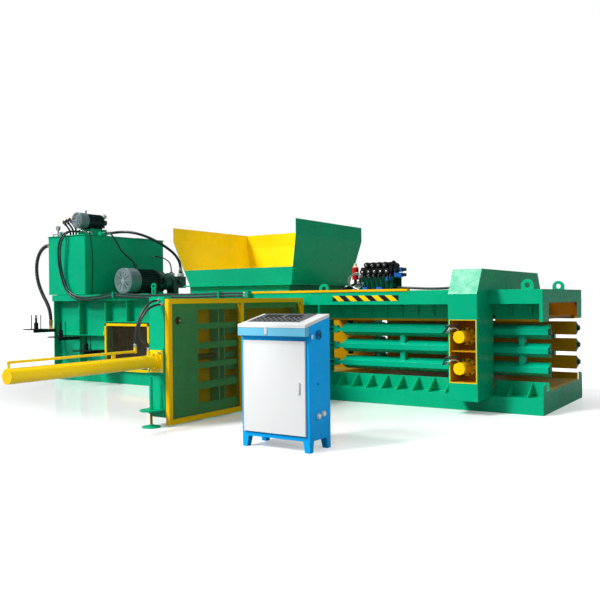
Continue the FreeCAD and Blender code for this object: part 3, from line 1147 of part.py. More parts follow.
def pump_hose():
    end = (PUMP_X + 30, pump_drive.nose_y + PUMP_HOSE_PORT, PUMP_Z + 175)
    route = (PUMP_HOSE_START, (-3640, 130, 2428), (-3470, 138, 2434), (-3300, 162, 2430),
             (-3160, 208, 2405), (-3030, 278, 2362), (-2925, 362, 2305), (-2840, 455, 2238),
             (-2770, 560, 2160), (-2715, 660, 2075), (-2682, 744, 1975),
             (end[0], end[1], end[2] + 110), end)
    return hose("pump hose", route, PUMP_HOSE)


def motor_cable():
    d = pump_drive
    end = (d.x - d.radius * 0.885, d.body_y + d.body * 0.5, d.z + d.radius * 0.55)
    route = (CABLE_START, (-3130, -420, 2368), (-3052, -415, 2335), (-3000, -395, 2260),
             (-2968, -355, 2165), (-2948, -305, 2075), (-2928, -235, 2005), (-2904, -155, 1950),
             (-2886, -80, 1880), (end[0], end[1], end[2] + 97), end)
    return hose("motor cable", route, CABLE)


def tank_hose():
    end = (PUMP_X, pump_drive.nose_y + TANK_HOSE_PORT, PUMP_Z + 160)
    route = ((TANK_LEFT + TANK_LENGTH, 640, 2022), (-3100, 640, 2022), (-3040, 636, 2015),
             (-2960, 628, 2002), (-2878, 618, 1978), (-2800, 608, 1945), (-2735, 600, 1895),
             (end[0], end[1], end[2] + 78), end)
    return hose("tank hose", route, TANK_HOSE)


def jack_hoses():
    return [hose("jack hose", route, JACK_HOSE) for route in (JACK_HOSE_A, JACK_HOSE_B)]


DECK_HOSE_START = (1980.0, -300.0, 1386.0)


def deck_hose():
    end = (FRAME_X0, -414, 1376)
    route = (DECK_HOSE_START, (2090, -300, 1386), (2250, -308, 1374), (2430, -334, 1366),
             (2620, -368, 1366), (2790, -398, 1372), (2920, end[1], end[2]), end)
    return hose("deck hose", route, DECK_HOSE)


def hose_fittings():
    """The elbow under the ribbed hose, the block at the front hoses' end and the deck port."""
    x, y, z = ribbed_route()[-1]
    elbow = fuse([rod((x, y, z - 110), Z, 27, 110), rod((x, y, z - 90), X, 22, -HALF_LENGTH - x)])
    ex, ez = LEDGE_RUN[-1]
    block = box(ex, ex + 50, LEDGE_Y - 24, -HALF_WIDTH, ez - 24, ez + 60)
    sx, sy, sz = DECK_HOSE_START
    port = fuse([box(sx - 60, sx - 20, sy - 20, sy + 20, BEAM_TOP + 10, sz + 20),
                 rod((sx - 20, sy, sz), X, 20, 20)])
    return [elbow, block, port]


def hose_clips():
    """Saddles bored round each hose where it passes, reaching back to the ledge behind."""
    clips = []
    paths = [hose_path(front_hose_route(second))[0] for second in (False, True)]
    for x in CLIP_X:
        cut = box(x, x + 1, -BODY_WIDTH, 0, BASE_HEIGHT, PLATFORM_TOP + 60)
        heights = [path.common(cut).Vertexes[0].Z for path in paths]
        back = -HALF_WIDTH - 20 if x < PLATFORM_RIGHT else -HALF_WIDTH
        clip = box(x - 12, x + 12, LEDGE_Y - 24, back, heights[0] - 28, heights[1] + 28)
        for z in heights:
            clip = clip.cut(rod((x - 20, LEDGE_Y, z), X, FRONT_HOSE / 2 + 2.5, 40))
        clips.append(clip)
    return clips


# ---------------------------------------------------------------- control console
CX0, CX1 = CONSOLE_LEFT, CONSOLE_LEFT + CONSOLE_WIDTH
CY0, CY1 = CONSOLE_FRONT, CONSOLE_FRONT + CONSOLE_DEPTH
CABINET_BOTTOM = 105.0
DOOR_LOW, DOOR_HIGH = 141.0, 906.0
DOOR_INSET = 30.0
BAND_LOW = 950.0
OVERHANG = 55.0


def console_cabinet():
    t = CONSOLE_SHEET
    outline = [(CY0, CABINET_BOTTOM), (CY1, CABINET_BOTTOM), (CY1, CONSOLE_BACK_TOP),
               (CY0, CONSOLE_FRONT_TOP)]
    inner = [(CY0 + t, CABINET_BOTTOM + t), (CY1 - t, CABINET_BOTTOM + t),
             (CY1 - t, CONSOLE_BACK_TOP + 1), (CY0 + t, CONSOLE_FRONT_TOP + 1)]
    shell = plate_x(outline, CX0, CX1).cut(plate_x(inner, CX0 + t, CX1 - t))
    shell = shell.cut(box(CX0 + DOOR_INSET + 10, CX1 - DOOR_INSET - 10, CY0 - 1, CY0 + t + 1, DOOR_LOW,
                          DOOR_HIGH))
    band = plate_x([(CY0 - OVERHANG, BAND_LOW), (CY0, BAND_LOW), (CY0, CONSOLE_FRONT_TOP),
                    (CY0 - OVERHANG, CONSOLE_FRONT_TOP - 14)], CX0, CX1)
    pieces = [shell, band]
    for x, inward in ((CX0, 1), (CX1, -1)):
        for y, back in ((CY0, 1), (CY1, -1)):
            across = plate_y([(x, 0), (x + 50 * inward, 0), (x + 66 * inward, CABINET_BOTTOM),
                              (x, CABINET_BOTTOM)], CY0, CY1)
            along = plate_x([(y, 0), (y + 50 * back, 0), (y + 66 * back, CABINET_BOTTOM),
                             (y, CABINET_BOTTOM)], CX0, CX1)
            pieces.append(across.common(along))
    low = CABINET_BOTTOM - 12
    skirt = [box(CX0 + 60, CX1 - 60, CY0, CY0 + t, low, CABINET_BOTTOM),
             box(CX0 + 60, CX1 - 60, CY1 - t, CY1, low, CABINET_BOTTOM),
             box(CX0, CX0 + t, CY0 + 60, CY1 - 60, low, CABINET_BOTTOM),
             box(CX1 - t, CX1, CY0 + 60, CY1 - 60, low, CABINET_BOTTOM)]
    glands = [rod((CX1, y, z), X, 17, 22) for y, z in ((CY0 + 122, 290), (CY0 + 195, 302))]
    stub = rod((CX1, CY0 + 133, 554), X, 9, 16)
    grille = rod((CX1, CY0 + 142, 957), X, 42, 6)
    socket = box(CX1, CX1 + 12, CY0 + 14, CY0 + 50, CONSOLE_FRONT_TOP - 110, CONSOLE_FRONT_TOP - 60)
    return fuse(pieces + skirt + glands + [stub, grille, socket])


def console_door():
    x0, x1 = CX0 + DOOR_INSET, CX1 - DOOR_INSET
    door = box(x0, x1, CY0 - 18.5, CY0 - 0.5, DOOR_LOW - 4, DOOR_HIGH + 4)
    inside = box(x0 + 3, x1 - 3, CY0 - 15.5, CY0 - 0.4, DOOR_LOW - 1, DOOR_HIGH + 1)
    boss = rod((CX1 - 88, CY0 - 15.6, 530), Y, 20, 12)
    door = fuse([door.cut(inside), boss])
    return door.cut(rod((CX1 - 88, CY0 - 20, 530), Y, 7 + RUNNING, 40))


def door_handle():
    spindle = rod((CX1 - 88, CY0 - 24, 530), Y, 7, 24)
    grip = box(CX1 - 98, CX1 - 78, CY0 - 30, CY0 - 18.5 - CLEAR, 482, 578)
    return fuse([grip, spindle])


LID_HINGE_Y = CY1 + 8.0
LID_HINGE_Z = CONSOLE_BACK_TOP - 6.0


def console_lid():
    slope = (CONSOLE_BACK_TOP - CONSOLE_FRONT_TOP) / CONSOLE_DEPTH
    gap = 0.5

    def height(y):
        return CONSOLE_FRONT_TOP + slope * (y - CY0) + gap

    low_y, high_y = CY0 - OVERHANG, CY1 - 1
    lid = plate_x([(low_y, height(low_y)), (high_y, height(high_y)), (high_y, height(high_y) + 26),
                   (low_y, height(low_y) + 26)], CX0, CX1)
    near, far = low_y + 66, high_y - 22
    panel = plate_x([(near, height(near) + 26), (far, height(far) + 26), (far, height(far) + 30),
                     (near, height(near) + 30)], CX0 + 45, CX1 - 105)
    return fuse([lid, panel])


def build():
    os.makedirs("parts", exist_ok=True)
    save("base_frame", base_frame())
    save("channel_floor", channel_floor())
    save("chamber_walls", chamber_walls())
    save("top_beams", top_beams())
    save("fixed_blade", fixed_blade())
    save("feed_neck", feed_neck())
    save("hopper", hopper())
    save("ram", ram())
    save("ram_blade", ram_blade())
    save("main_cylinder", main_cylinder())
    save("main_rod", main_rod())
    save("housing_walls", housing_walls())
    save("access_door", access_door())
    save("oil_tank", oil_tank())
    save("tank_lid", tank_lid())
    save("valve_lever", valve_lever())
    save("pump_motor", pump_drive.housing())
    save("pump_cowl", pump_drive.cover())
    save("pump_rotor", pump_drive.rotor(60))
    save("pump_unit", pump_unit())
    save("cooler_motor", cooler_drive.housing())
    save("cooler_cowl", cooler_drive.cover())
    save("cooler_rotor", cooler_drive.rotor(40))
    save("cooler_pump", cooler_pump())
    save("tension_frame", tension_frame())
    save("clamp_cylinders", clamp_cylinders())
    front_rods = clamp_rods()
    save("front_clamp_rods", front_rods)
    save("rear_clamp_rods", [s.mirror(V(0, 0, 0), Y) for s in front_rods])
    save("front_side_panel", side_panel())
    save("rear_side_panel", side_panel().mirror(V(0, 0, 0), Y))
    save("panel_pins", panel_pins())
    save("wire_rail", wire_rail())
    save("lifting_lugs", lifting_lugs() + [transport_link()])
    save("top_deck", top_deck())
    save("valve_block", valve_block() + [accumulator()])
    save("solenoids", solenoids())
    save("needle_guides", needle_guides())
    save("levelling_foot", levelling_foot())
    save("needle_cylinder", needle_cylinder())
    save("needle_rod", needle_rod())
    save("needle_carriage", needle_carriage())
    save("knotter_housing", knotter_housing())
    save("guard_frame", guard_frame())
    save("guard_mesh", guard_mesh())
    save("reel_arms", reel_arms())
    for i, (x, z) in enumerate(REELS):
        save("wire_reel_%d" % (i + 1), wire_reel(x, z))
    save("front_hoses", front_hoses())
    save("ribbed_hose", ribbed_hose())
    save("pump_hose", pump_hose())
    save("motor_cable", motor_cable())
    save("tank_hose", tank_hose())
    save("jack_hoses", jack_hoses())
    save("deck_hose", deck_hose())
    save("hose_fittings", hose_fittings() + hose_clips())
    save("console_cabinet", console_cabinet())
    save("console_door", console_door())
    save("door_handle", door_handle())
    save("console_lid", console_lid())


build()
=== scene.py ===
"""Recycling baler: hoses, finishes, small parts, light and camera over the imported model."""
import math

import bmesh
import bpy
from mathutils import Matrix, Vector


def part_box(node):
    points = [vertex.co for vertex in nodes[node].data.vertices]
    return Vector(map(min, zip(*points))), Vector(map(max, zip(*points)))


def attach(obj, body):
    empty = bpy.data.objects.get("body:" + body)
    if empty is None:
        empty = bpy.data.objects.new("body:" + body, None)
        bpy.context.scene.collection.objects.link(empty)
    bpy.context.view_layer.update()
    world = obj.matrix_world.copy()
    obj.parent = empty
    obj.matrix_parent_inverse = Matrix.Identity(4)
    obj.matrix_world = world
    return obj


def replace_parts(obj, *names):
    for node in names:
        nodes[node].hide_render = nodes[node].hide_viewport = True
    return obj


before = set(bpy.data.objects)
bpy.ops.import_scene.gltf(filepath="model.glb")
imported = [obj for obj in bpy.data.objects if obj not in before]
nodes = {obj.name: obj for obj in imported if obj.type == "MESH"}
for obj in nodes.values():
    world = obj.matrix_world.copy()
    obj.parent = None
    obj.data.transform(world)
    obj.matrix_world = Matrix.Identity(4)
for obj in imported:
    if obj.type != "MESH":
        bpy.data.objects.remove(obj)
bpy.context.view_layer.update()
ROOT = "machine_frame"


# ---------------------------------------------------------------- camera
# The view as worked out from the beams' vanishing lines: angles in degrees, lens in mm, place in metres.
YAW, PITCH, ROLL = 33.481, -0.037, 0.587
LENS, SENSOR, CLIP_END = 44.63, 36.0, 200
EYE = (6.1165, -8.7693, 1.250)


def make_camera():
    yaw, pitch, roll = (math.radians(a) for a in (YAW, PITCH, ROLL))
    right = Vector((math.cos(yaw), math.sin(yaw), 0))
    ahead = Vector((-math.sin(yaw) * math.cos(pitch), math.cos(yaw) * math.cos(pitch), math.sin(pitch)))
    up = right.cross(ahead)
    x = right * math.cos(roll) - up * math.sin(roll)
    y = right * math.sin(roll) + up * math.cos(roll)
    data = bpy.data.cameras.new("camera")
    data.lens, data.sensor_width, data.clip_end = LENS, SENSOR, CLIP_END
    cam = bpy.data.objects.new("camera", data)
    place = Matrix((x, y, -ahead)).transposed().to_4x4()
    place.translation = Vector(EYE)
    cam.matrix_world = place
    bpy.context.scene.collection.objects.link(cam)
    bpy.context.scene.camera = cam


make_camera()


# ---------------------------------------------------------------- materials
class Nodes:
    """A material's node tree with short calls for the nodes used here."""

    def __init__(self, name):
        self.mat = bpy.data.materials.new(name)
        self.mat.use_nodes = True
        self.tree = self.mat.node_tree
        self.shader = self.tree.nodes["Principled BSDF"]
        self.coords = self.tree.nodes.new("ShaderNodeTexCoord").outputs["Object"]

    def link(self, a, b):
        self.tree.links.new(a, b)

    def noise(self, scale, detail=3.0, stretch=None):
        n = self.tree.nodes.new("ShaderNodeTexNoise")
        n.inputs["Scale"].default_value = scale
        n.inputs["Detail"].default_value = detail
        if stretch:
            m = self.tree.nodes.new("ShaderNodeMapping")
            m.inputs["Scale"].default_value = stretch
            self.link(self.coords, m.inputs["Vector"])
            self.link(m.outputs[0], n.inputs["Vector"])
        else:
            self.link(self.coords, n.inputs["Vector"])
        return n.outputs["Fac"]

    def ramp(self, value, low, high, a=0.0, b=1.0):
        n = self.tree.nodes.new("ShaderNodeMapRange")
        for key, v in zip(("From Min", "From Max", "To Min", "To Max"), (low, high, a, b)):
            n.inputs[key].default_value = v
        self.link(value, n.inputs["Value"])
        return n.outputs[0]

    def math(self, kind, a, b=0.0):
        n = self.tree.nodes.new("ShaderNodeMath")
        n.operation = kind
        for i, v in enumerate((a, b)):
            if isinstance(v, (int, float)):
                n.inputs[i].default_value = v
            else:
                self.link(v, n.inputs[i])
        return n.outputs[0]

    def mix(self, fac, a, b):
        n = self.tree.nodes.new("ShaderNodeMix")
        n.data_type = "RGBA"
        for key, v in ((0, fac), (6, a), (7, b)):
            if isinstance(v, (int, float)):
                n.inputs[key].default_value = v
            elif isinstance(v, tuple):
                n.inputs[key].default_value = (*v, 1)
            else:
                self.link(v, n.inputs[key])
        return n.outputs[2]

    def bump(self, height, strength, distance, edge=0.0):
        n = self.tree.nodes.new("ShaderNodeBump")
        n.inputs["Strength"].default_value = strength
        n.inputs["Distance"].default_value = distance
        self.link(height, n.inputs["Height"])
        if edge:
            e = self.tree.nodes.new("ShaderNodeBevel")
            e.samples = 4
            e.inputs["Radius"].default_value = edge
            self.link(e.outputs[0], n.inputs["Normal"])
        self.link(n.outputs[0], self.shader.inputs["Normal"])

    def split(self):
        n = self.tree.nodes.new("ShaderNodeSeparateXYZ")
        self.link(self.coords, n.inputs[0])
        return n.outputs

    def between(self, value, low, high):
        return self.math("MULTIPLY", self.math("GREATER_THAN", value, low),
                         self.math("LESS_THAN", value, high))

    def inside(self, box):
        """1 within the box of spans (x, y, z) in the part's own coordinates; a span None is open."""
        found = None
        for value, span in zip(self.split(), box):
            if span:
                part = self.between(value, *span)
                found = part if found is None else self.math("MULTIPLY", found, part)
        return found


def tone(n, colour, spread=0.10, scale=1.7):
    """The colour with the slow drift that sprayed paint has."""
    dark = tuple(c * (1 - spread) for c in colour)
    light = tuple(min(1.0, c * (1 + spread)) for c in colour)
    return n.mix(n.ramp(n.noise(scale, 4), 0.3, 0.7), dark, light)


def dusty(n, colour, dust=(0.22, 0.34, 0.28), amount=0.10):
    """A little dust that gathers in broken patches."""
    patch = n.ramp(n.noise(5.5, 6), 0.52, 0.78, 0.0, amount)
    return n.mix(patch, colour, dust)


def paint(name, colour, rough=0.24, zones=(), spread=0.08, coat=0.0, dust=0.02, shine=0.13):
    """Sprayed enamel: colour drift, faint dust, orange peel and softened edges.

    zones are (box or function, colour): where they hold, the other colour is laid on. In most places that
    is a second sprayed colour; in the places marked as such it is painted shade.
    """
    n = Nodes(name)
    c = tone(n, colour, spread)
    for where, other in zones:
        mask = where(n) if callable(where) else n.inside(where)
        c = n.mix(mask, c, tone(n, other, spread))
    n.link(dusty(n, c, amount=dust), n.shader.inputs["Base Color"])
    n.link(n.ramp(n.noise(9, 5), 0.3, 0.75, rough * 0.85, rough * 1.35), n.shader.inputs["Roughness"])
    n.shader.inputs["Specular IOR Level"].default_value = shine
    n.shader.inputs["Coat Weight"].default_value = coat
    n.shader.inputs["Coat Roughness"].default_value = 0.18
    n.bump(n.noise(240, 2), 0.07, 0.0012, 0.004)
    return n.mat


WEAR, WEAR_AMOUNT = (0.3, 0.2, 0.12), 0.06


def metal(name, colour, rough, stretch=(1, 1, 1), metallic=1.0):
    """Bare or thinly coated metal: worn patches and a grain drawn out along stretch."""
    n = Nodes(name)
    worn = n.ramp(n.noise(14, 6), 0.55, 0.8, 0.0, WEAR_AMOUNT)
    n.link(n.mix(worn, tone(n, colour, 0.12, 4), WEAR), n.shader.inputs["Base Color"])
    n.shader.inputs["Metallic"].default_value = metallic
    n.link(n.ramp(n.noise(60, 3, stretch), 0.3, 0.7, rough * 0.75, rough * 1.3),
           n.shader.inputs["Roughness"])
    n.bump(n.noise(300, 2, stretch), 0.08, 0.0006, 0.002)
    return n.mat


def rubber(name, colour, rough):
    """Hose rubber: dull, with grey dust in patches."""
    n = Nodes(name)
    n.link(dusty(n, tone(n, colour, 0.2, 6), (0.12, 0.12, 0.12), 0.25), n.shader.inputs["Base Color"])
    n.link(n.ramp(n.noise(30, 4), 0.3, 0.7, rough * 0.8, rough * 1.25), n.shader.inputs["Roughness"])
    n.bump(n.noise(500, 2), 0.12, 0.0006)
    return n.mat


GREEN, YELLOW = (0.0, 0.42, 0.21), (0.88, 0.60, 0.003)
DARK_GREEN, BLACK = (0.0, 0.10, 0.06), (0.012, 0.014, 0.016)
BLUE, WHITE = (0.0, 0.36, 0.84), (0.66, 0.675, 0.675)
# The second colour on the next line, a brown, is painted shade: the clamp window's yellow backs darkened
# for the shade inside the window.
OCHRE, SHADE_BROWN = (0.52, 0.30, 0.004), (0.42, 0.15, 0.001)


HOPPER_AXIS_X, LOOKS_INWARD = -0.2, -0.1
BAND_SLANT, BAND_SHIFT, BANDS_PER_METRE = 1.2, 0.056, 5.55


def hopper_inside(n):
    """1 on the faces of the hopper that look towards its axis."""
    geometry = n.tree.nodes.new("ShaderNodeNewGeometry")
    normal, place = n.tree.nodes.new("ShaderNodeSeparateXYZ"), n.split()
    n.link(geometry.outputs["True Normal"], normal.inputs[0])
    x = n.math("MULTIPLY", normal.outputs[0], n.math("ADD", place[0], -HOPPER_AXIS_X))
    y = n.math("MULTIPLY", normal.outputs[1], place[1])
    return n.math("LESS_THAN", n.math("ADD", x, y), LOOKS_INWARD)


def stripes(n):
    """The slanting bands of a plain hazard marking."""
    x, _, z = n.split()
    slant = n.math("ADD", x, n.math("MULTIPLY", z, BAND_SLANT))
    turn = n.math("FRACT", n.math("MULTIPLY", n.math("ADD", slant, BAND_SHIFT), BANDS_PER_METRE))
    return n.math("LESS_THAN", turn, 0.5)


# Places that take another colour, as spans in x, y and z; None is open. Most are sprayed in that colour;
# those marked below carry painted shade.
NECK_MOUTH = ((-1.0705, 0.5905), (-0.7305, 0.7305), (1.336, 1.47))
BASE_INSIDE = (None, (-0.6285, 0.6285), (0.236, 0.34))
CHANNEL_INSIDE = (None, (-0.5505, 0.5505), (0.2, 1.1))
# The dark brown inside the roof between the beams is partly the plate's rust and partly painted shade of
# that closed space.
ROOF_INSIDE_RUST_AND_SHADE = (None, (-0.6285, 0.6285), (1.005, 1.192))
ROOF_UNDERSIDE = (None, (-0.6405, 0.6405), (0.98, 1.009))
# Painted shade: the clamp window's inner faces are yellow paint, laid on as darker orange, and as brown
# at the backs, for the shade inside the window; the rims keep their yellow.
CLAMP_BAYS_SHADE = ((3.0415, 3.3285), (-1.2035, 1.2035), (0.17, 1.28))
CLAMP_BAY_BACKS_SHADE = ((3.0415, 3.3285), (-0.9345, 0.9345), (0.17, 1.28))
CLAMP_RIM_FRONT = ((3.033, 3.337), (-1.2045, -1.1995), (0.337, 1.017))
CLAMP_RIM_REAR = ((3.033, 3.337), (1.1995, 1.2045), (0.337, 1.017))
PANEL_INSIDE = (None, (-0.5615, 0.5615), None)
PANEL_TIP = ((3.9415, 3.97), None, None)
GUIDE_BACK = ((0.7490, 0.7515), (-3.24, -0.86), (0.105, 1.225))
GUIDE_COLUMN = (None, (-4.0, -3.245), None)
FOOT_SCREW = (None, None, (0.03, 0.13))
LID_GAUGE = ((-4.2, -3.84), None, (2.33, 2.6))
ACCUMULATOR = ((1.3, 1.45), None, (1.49, 1.66))
ACCUMULATOR_NECK = ((1.3, 1.45), None, (1.66, 1.72))
VALVE_BASE = ((1.5, 1.95), None, (1.30, 1.445))
RIBBED_ELBOW = ((-4.2, -3.9), None, None)
DECK_PORT = ((1.0, 2.5), None, None)
CONSOLE_BAND = (None, (-3.80, -3.716), (0.93, 1.10))
VALVE_STAND = ((1.3, 2.2), (-0.6, 0.0), (1.35, 1.53))

M = {
    "green": paint("green_enamel", GREEN),
    "yellow": paint("yellow_enamel", YELLOW),
    "amber": paint("amber_enamel", (0.85, 0.50, 0.002)),
    "cylinder": paint("cylinder_enamel", (0.92, 0.62, 0.0), shine=0.3),
    "hopper": paint("hopper_two_tone", GREEN, zones=[(hopper_inside, YELLOW)]),
    "neck": paint("neck_two_tone", GREEN, zones=[(NECK_MOUTH, YELLOW)]),
    "base": paint("base_enamel", GREEN, zones=[(BASE_INSIDE, OCHRE)]),
    "channel": paint("channel_lining", GREEN, zones=[(CHANNEL_INSIDE, OCHRE)]),
    "beams": paint("beam_enamel", GREEN, zones=[
        # Dark brown inside the roof: partly rust, partly painted shade.
        (ROOF_INSIDE_RUST_AND_SHADE, (0.16, 0.055, 0.0)), (ROOF_UNDERSIDE, (0.55, 0.27, 0.002))]),
    "floor": paint("floor_plate", (0.50, 0.36, 0.06), 0.38, dust=0.35),
    "tension": paint("tension_enamel_painted_shade", GREEN, zones=[
        # Painted shade inside the clamp window: orange on its sides, brown at its backs, yellow only on
        # the rims.
        (CLAMP_BAYS_SHADE, (0.60, 0.30, 0.002)), (CLAMP_BAY_BACKS_SHADE, SHADE_BROWN),
        (CLAMP_RIM_FRONT, YELLOW), (CLAMP_RIM_REAR, YELLOW)]),
    "panel": paint("panel_enamel", (0.0, 0.42, 0.24), zones=[
        (PANEL_INSIDE, OCHRE), (PANEL_TIP, DARK_GREEN)]),
    "guides": paint("guide_enamel", (0.035, 0.52, 0.19), zones=[
        (GUIDE_BACK, (0.95, 0.52, 0.002)), (GUIDE_COLUMN, GREEN)]),
    "foot": paint("foot_enamel", GREEN, zones=[(FOOT_SCREW, (0.32, 0.14, 0.02))]),
    "lid": paint("lid_enamel", GREEN, zones=[(LID_GAUGE, (0.34, 0.36, 0.38))]),
    "black": paint("black_enamel", BLACK, 0.35, coat=0.1),
    "block": paint("block_black", (0.015, 0.016, 0.018), 0.3, zones=[
        (ACCUMULATOR, (0.55, 0.01, 0.012)), (ACCUMULATOR_NECK, (0.7, 0.62, 0.42)),
        (VALVE_BASE, (0.0, 0.16, 0.09))]),
    "blue_coil": paint("coil_blue", (0.01, 0.14, 0.60), 0.4),
    "motor": paint("motor_dark", (0.006, 0.035, 0.032), 0.34, coat=0.15),
    "cowl": paint("motor_cowl", (0.15, 0.205, 0.225), 0.28, coat=0.2, shine=0.5),
    "pump": metal("pump_iron", (0.010, 0.065, 0.048), 0.40, metallic=0.0),
    "steel": metal("bright_steel", (0.62, 0.63, 0.65), 0.22, (1, 12, 1)),
    "dark_steel": metal("worn_steel", (0.16, 0.15, 0.14), 0.42, (8, 1, 1)),
    "zinc": metal("zinc_steel", (0.50, 0.51, 0.52), 0.33),
    "brass": metal("brass", (0.62, 0.42, 0.12), 0.3),
    "fittings": paint("fitting_paint", (0.0, 0.38, 0.2), 0.35, zones=[
        (RIBBED_ELBOW, (0.50, 0.34, 0.08)), (DECK_PORT, (0.02, 0.02, 0.022))]),
    "hose": rubber("hose_rubber", (0.014, 0.017, 0.022), 0.38),
    "console": paint("console_blue", BLUE, 0.30, dust=0.005, zones=[
        (CONSOLE_BAND, (0.13, 0.44, 0.62))]),
    "door": paint("console_white", WHITE, 0.34, coat=0.1, spread=0.02, dust=0.02),
    "grey": paint("panel_grey", (0.10, 0.11, 0.115), 0.28, spread=0.05, coat=0.3, dust=0.03),
    "hazard": paint("hazard_bands", (0.88, 0.62, 0.003), 0.35, zones=[
        (stripes, (0.012, 0.012, 0.012))]),
    # Painted shade: the guard wire's yellow paint is laid on as dark olive, for the shade on its side
    # away from the lamps.
    "mesh": paint("mesh_painted_shade", (0.15, 0.13, 0.012), 0.45),
    # Painted highlight: a pale green for the lit edges of the needle carriage.
    "highlight_green": paint("painted_highlight_green", (0.30, 0.90, 0.48), 0.3),
    "grille": paint("grille_grey", (0.30, 0.36, 0.38), 0.4, shine=0.4),
    "satin": metal("satin_steel", (0.74, 0.75, 0.76), 0.35, metallic=0.35),
    "deck": paint("deck_enamel", GREEN, zones=[(VALVE_STAND, (0.0, 0.10, 0.055))]),
    "slat": paint("slat_enamel", (0.085, 0.065, 0.03), 0.5),
}

# Finish of each solid of the model that stays visible.
FINISH = {
    "amber": "wire_rail guard_frame",
    "base": "base_frame",
    "beams": "top_beams",
    "black": "reel_arms wire_reel_1 wire_reel_2 wire_reel_3 main_cylinder",
    "block": "valve_block",
    "blue_coil": "solenoids valve_lever",
    "channel": "chamber_walls",
    "console": "console_cabinet",
    "cowl": "pump_cowl cooler_cowl",
    "cylinder": "needle_cylinder",
    "dark_steel": "ram ram_blade fixed_blade pump_rotor cooler_rotor needle_rod",
    "deck": "top_deck",
    "door": "console_door console_lid",
    "fittings": "hose_fittings",
    "floor": "channel_floor",
    "foot": "levelling_foot",
    "green": "housing_walls oil_tank lifting_lugs needle_carriage knotter_housing",
    "guides": "needle_guides",
    "hopper": "hopper",
    "lid": "tank_lid",
    "mesh": "guard_mesh",
    "motor": "pump_motor cooler_motor",
    "neck": "feed_neck",
    "panel": "front_side_panel rear_side_panel",
    "pump": "pump_unit cooler_pump",
    "satin": "door_handle",
    "steel": "main_rod front_clamp_rods rear_clamp_rods",
    "tension": "tension_frame",
    "yellow": "clamp_cylinders access_door",
    "zinc": "panel_pins",
}


def dress(obj, mat):
    obj.data.materials.clear()
    obj.data.materials.append(M[mat])


for mat, names in FINISH.items():
    for name in names.split():
        dress(nodes[name], mat)


# ---------------------------------------------------------------- mesh helpers
def add(name, bm, mat, body, smooth=False):
    mesh = bpy.data.meshes.new(name)
    bmesh.ops.recalc_face_normals(bm, faces=bm.faces)
    bm.to_mesh(mesh)
    bm.free()
    obj = bpy.data.objects.new(name, mesh)
    bpy.context.scene.collection.objects.link(obj)
    if smooth:
        for p in mesh.polygons:
            p.use_smooth = True
        obj.modifiers.new("edges", "EDGE_SPLIT").split_angle = math.radians(35)
    dress(obj, mat)
    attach(obj, body)
    return obj


def bevel(obj, width, segments=2):
    mod = obj.modifiers.new("bevel", "BEVEL")
    mod.width, mod.segments, mod.limit_method = width, segments, "ANGLE"
    return obj


def block(bm, x0, x1, y0, y1, z0, z1):
    r = bmesh.ops.create_cube(bm, size=1.0)
    centre = Vector(((x0 + x1) / 2, (y0 + y1) / 2, (z0 + z1) / 2))
    size = Vector((x1 - x0, y1 - y0, z1 - z0))
    for v in r["verts"]:
        v.co = Vector(a * b for a, b in zip(v.co, size)) + centre
    return r["verts"]


def angles(count):
    return [2 * math.pi * i / count for i in range(count)]


def skin(bm, rings, closed=False):
    """Faces between neighbouring rings of points, with both ends capped unless the rings close up."""
    count = len(rings[0])
    for low, high in zip(rings, rings[1:] + rings[:1] if closed else rings[1:]):
        for i in range(count):
            bm.faces.new((low[i], low[(i + 1) % count], high[(i + 1) % count], high[i]))
    if not closed:
        bm.faces.new(rings[0])
        bm.faces.new(rings[-1])


def axes(axis):
    """The axis made one long, and two directions square to it."""
    axis = Vector(axis).normalized()
    side = axis.orthogonal().normalized()
    return axis, side, axis.cross(side)


def turned(bm, at, axis, profile, count=24):
    """A body turned about the axis through at; profile is (distance along, radius)."""
    axis, side, other = axes(axis)
    skin(bm, [[bm.verts.new(Vector(at) + axis * along
                            + (side * math.cos(a) + other * math.sin(a)) * radius)
               for a in angles(count)] for along, radius in profile])


def turned_ring(bm, at, axis, radius, wire, count=40, sides=8):
    """A ring of round wire about the axis through at."""
    axis, side, other = axes(axis)
    rings = []
    for a in angles(count):
        out = side * math.cos(a) + other * math.sin(a)
        rings.append([bm.verts.new(Vector(at) + out * (radius + wire * math.cos(t))
                                   + axis * wire * math.sin(t)) for t in angles(sides)])
    skin(bm, rings, closed=True)


def hexagon(bm, at, axis, radius, height):
    """A bolt's head with its chamfered top and washer."""
    turned(bm, at, axis, [(0, radius * 1.25), (height * 0.15, radius * 1.25)], 16)
    turned(bm, at, axis, [(height * 0.15, radius), (height * 0.85, radius), (height, radius * 0.8)], 6)


def bolts(name, places, axis, radius, mat="zinc"):
    bm = bmesh.new()
    for at in places:
        hexagon(bm, at, axis, radius, radius * 0.9)
    add(name, bm, mat, ROOT)


def mm(*values):
    """Millimetres as metres."""
    return tuple(v / 1000 for v in values)


# ---------------------------------------------------------------- hoses
# Routes in mm, the same points as the model's own hoses.
FRONT_DROP = ((0, 0, 0), (0, -115, 0), (-14, -236, -8), (-45, -334, -92), (-84, -358, -238),
              (-106, -350, -420), (-96, -330, -620), (-50, -316, -800), (30, -314, -960))
LEDGE_RUN = ((-3420, 1332), (-3190, 1272), (-2850, 1290), (-2470, 1340), (-2080, 1312),
             (-1680, 1296), (-1260, 1304), (-840, 1298), (-398, 1311), (-100, 1310), (60, 1310))
FRONT_START, LEDGE_Y = (-3600, -600, 2394), -914
HOSES_APART, HOSE_LIFT = 60.0, 36.0
RIBBED_START = (-4048.0, -820.0, 2180.0)
RIBBED_RUNS = ((100, 0), (112, 21), (115, 42), (118, 62), (125, 79), (135, 93), (140, 106),
               (145, 117), (140, 125), (130, 129), (120, 117), (112, 103), (100, 90))


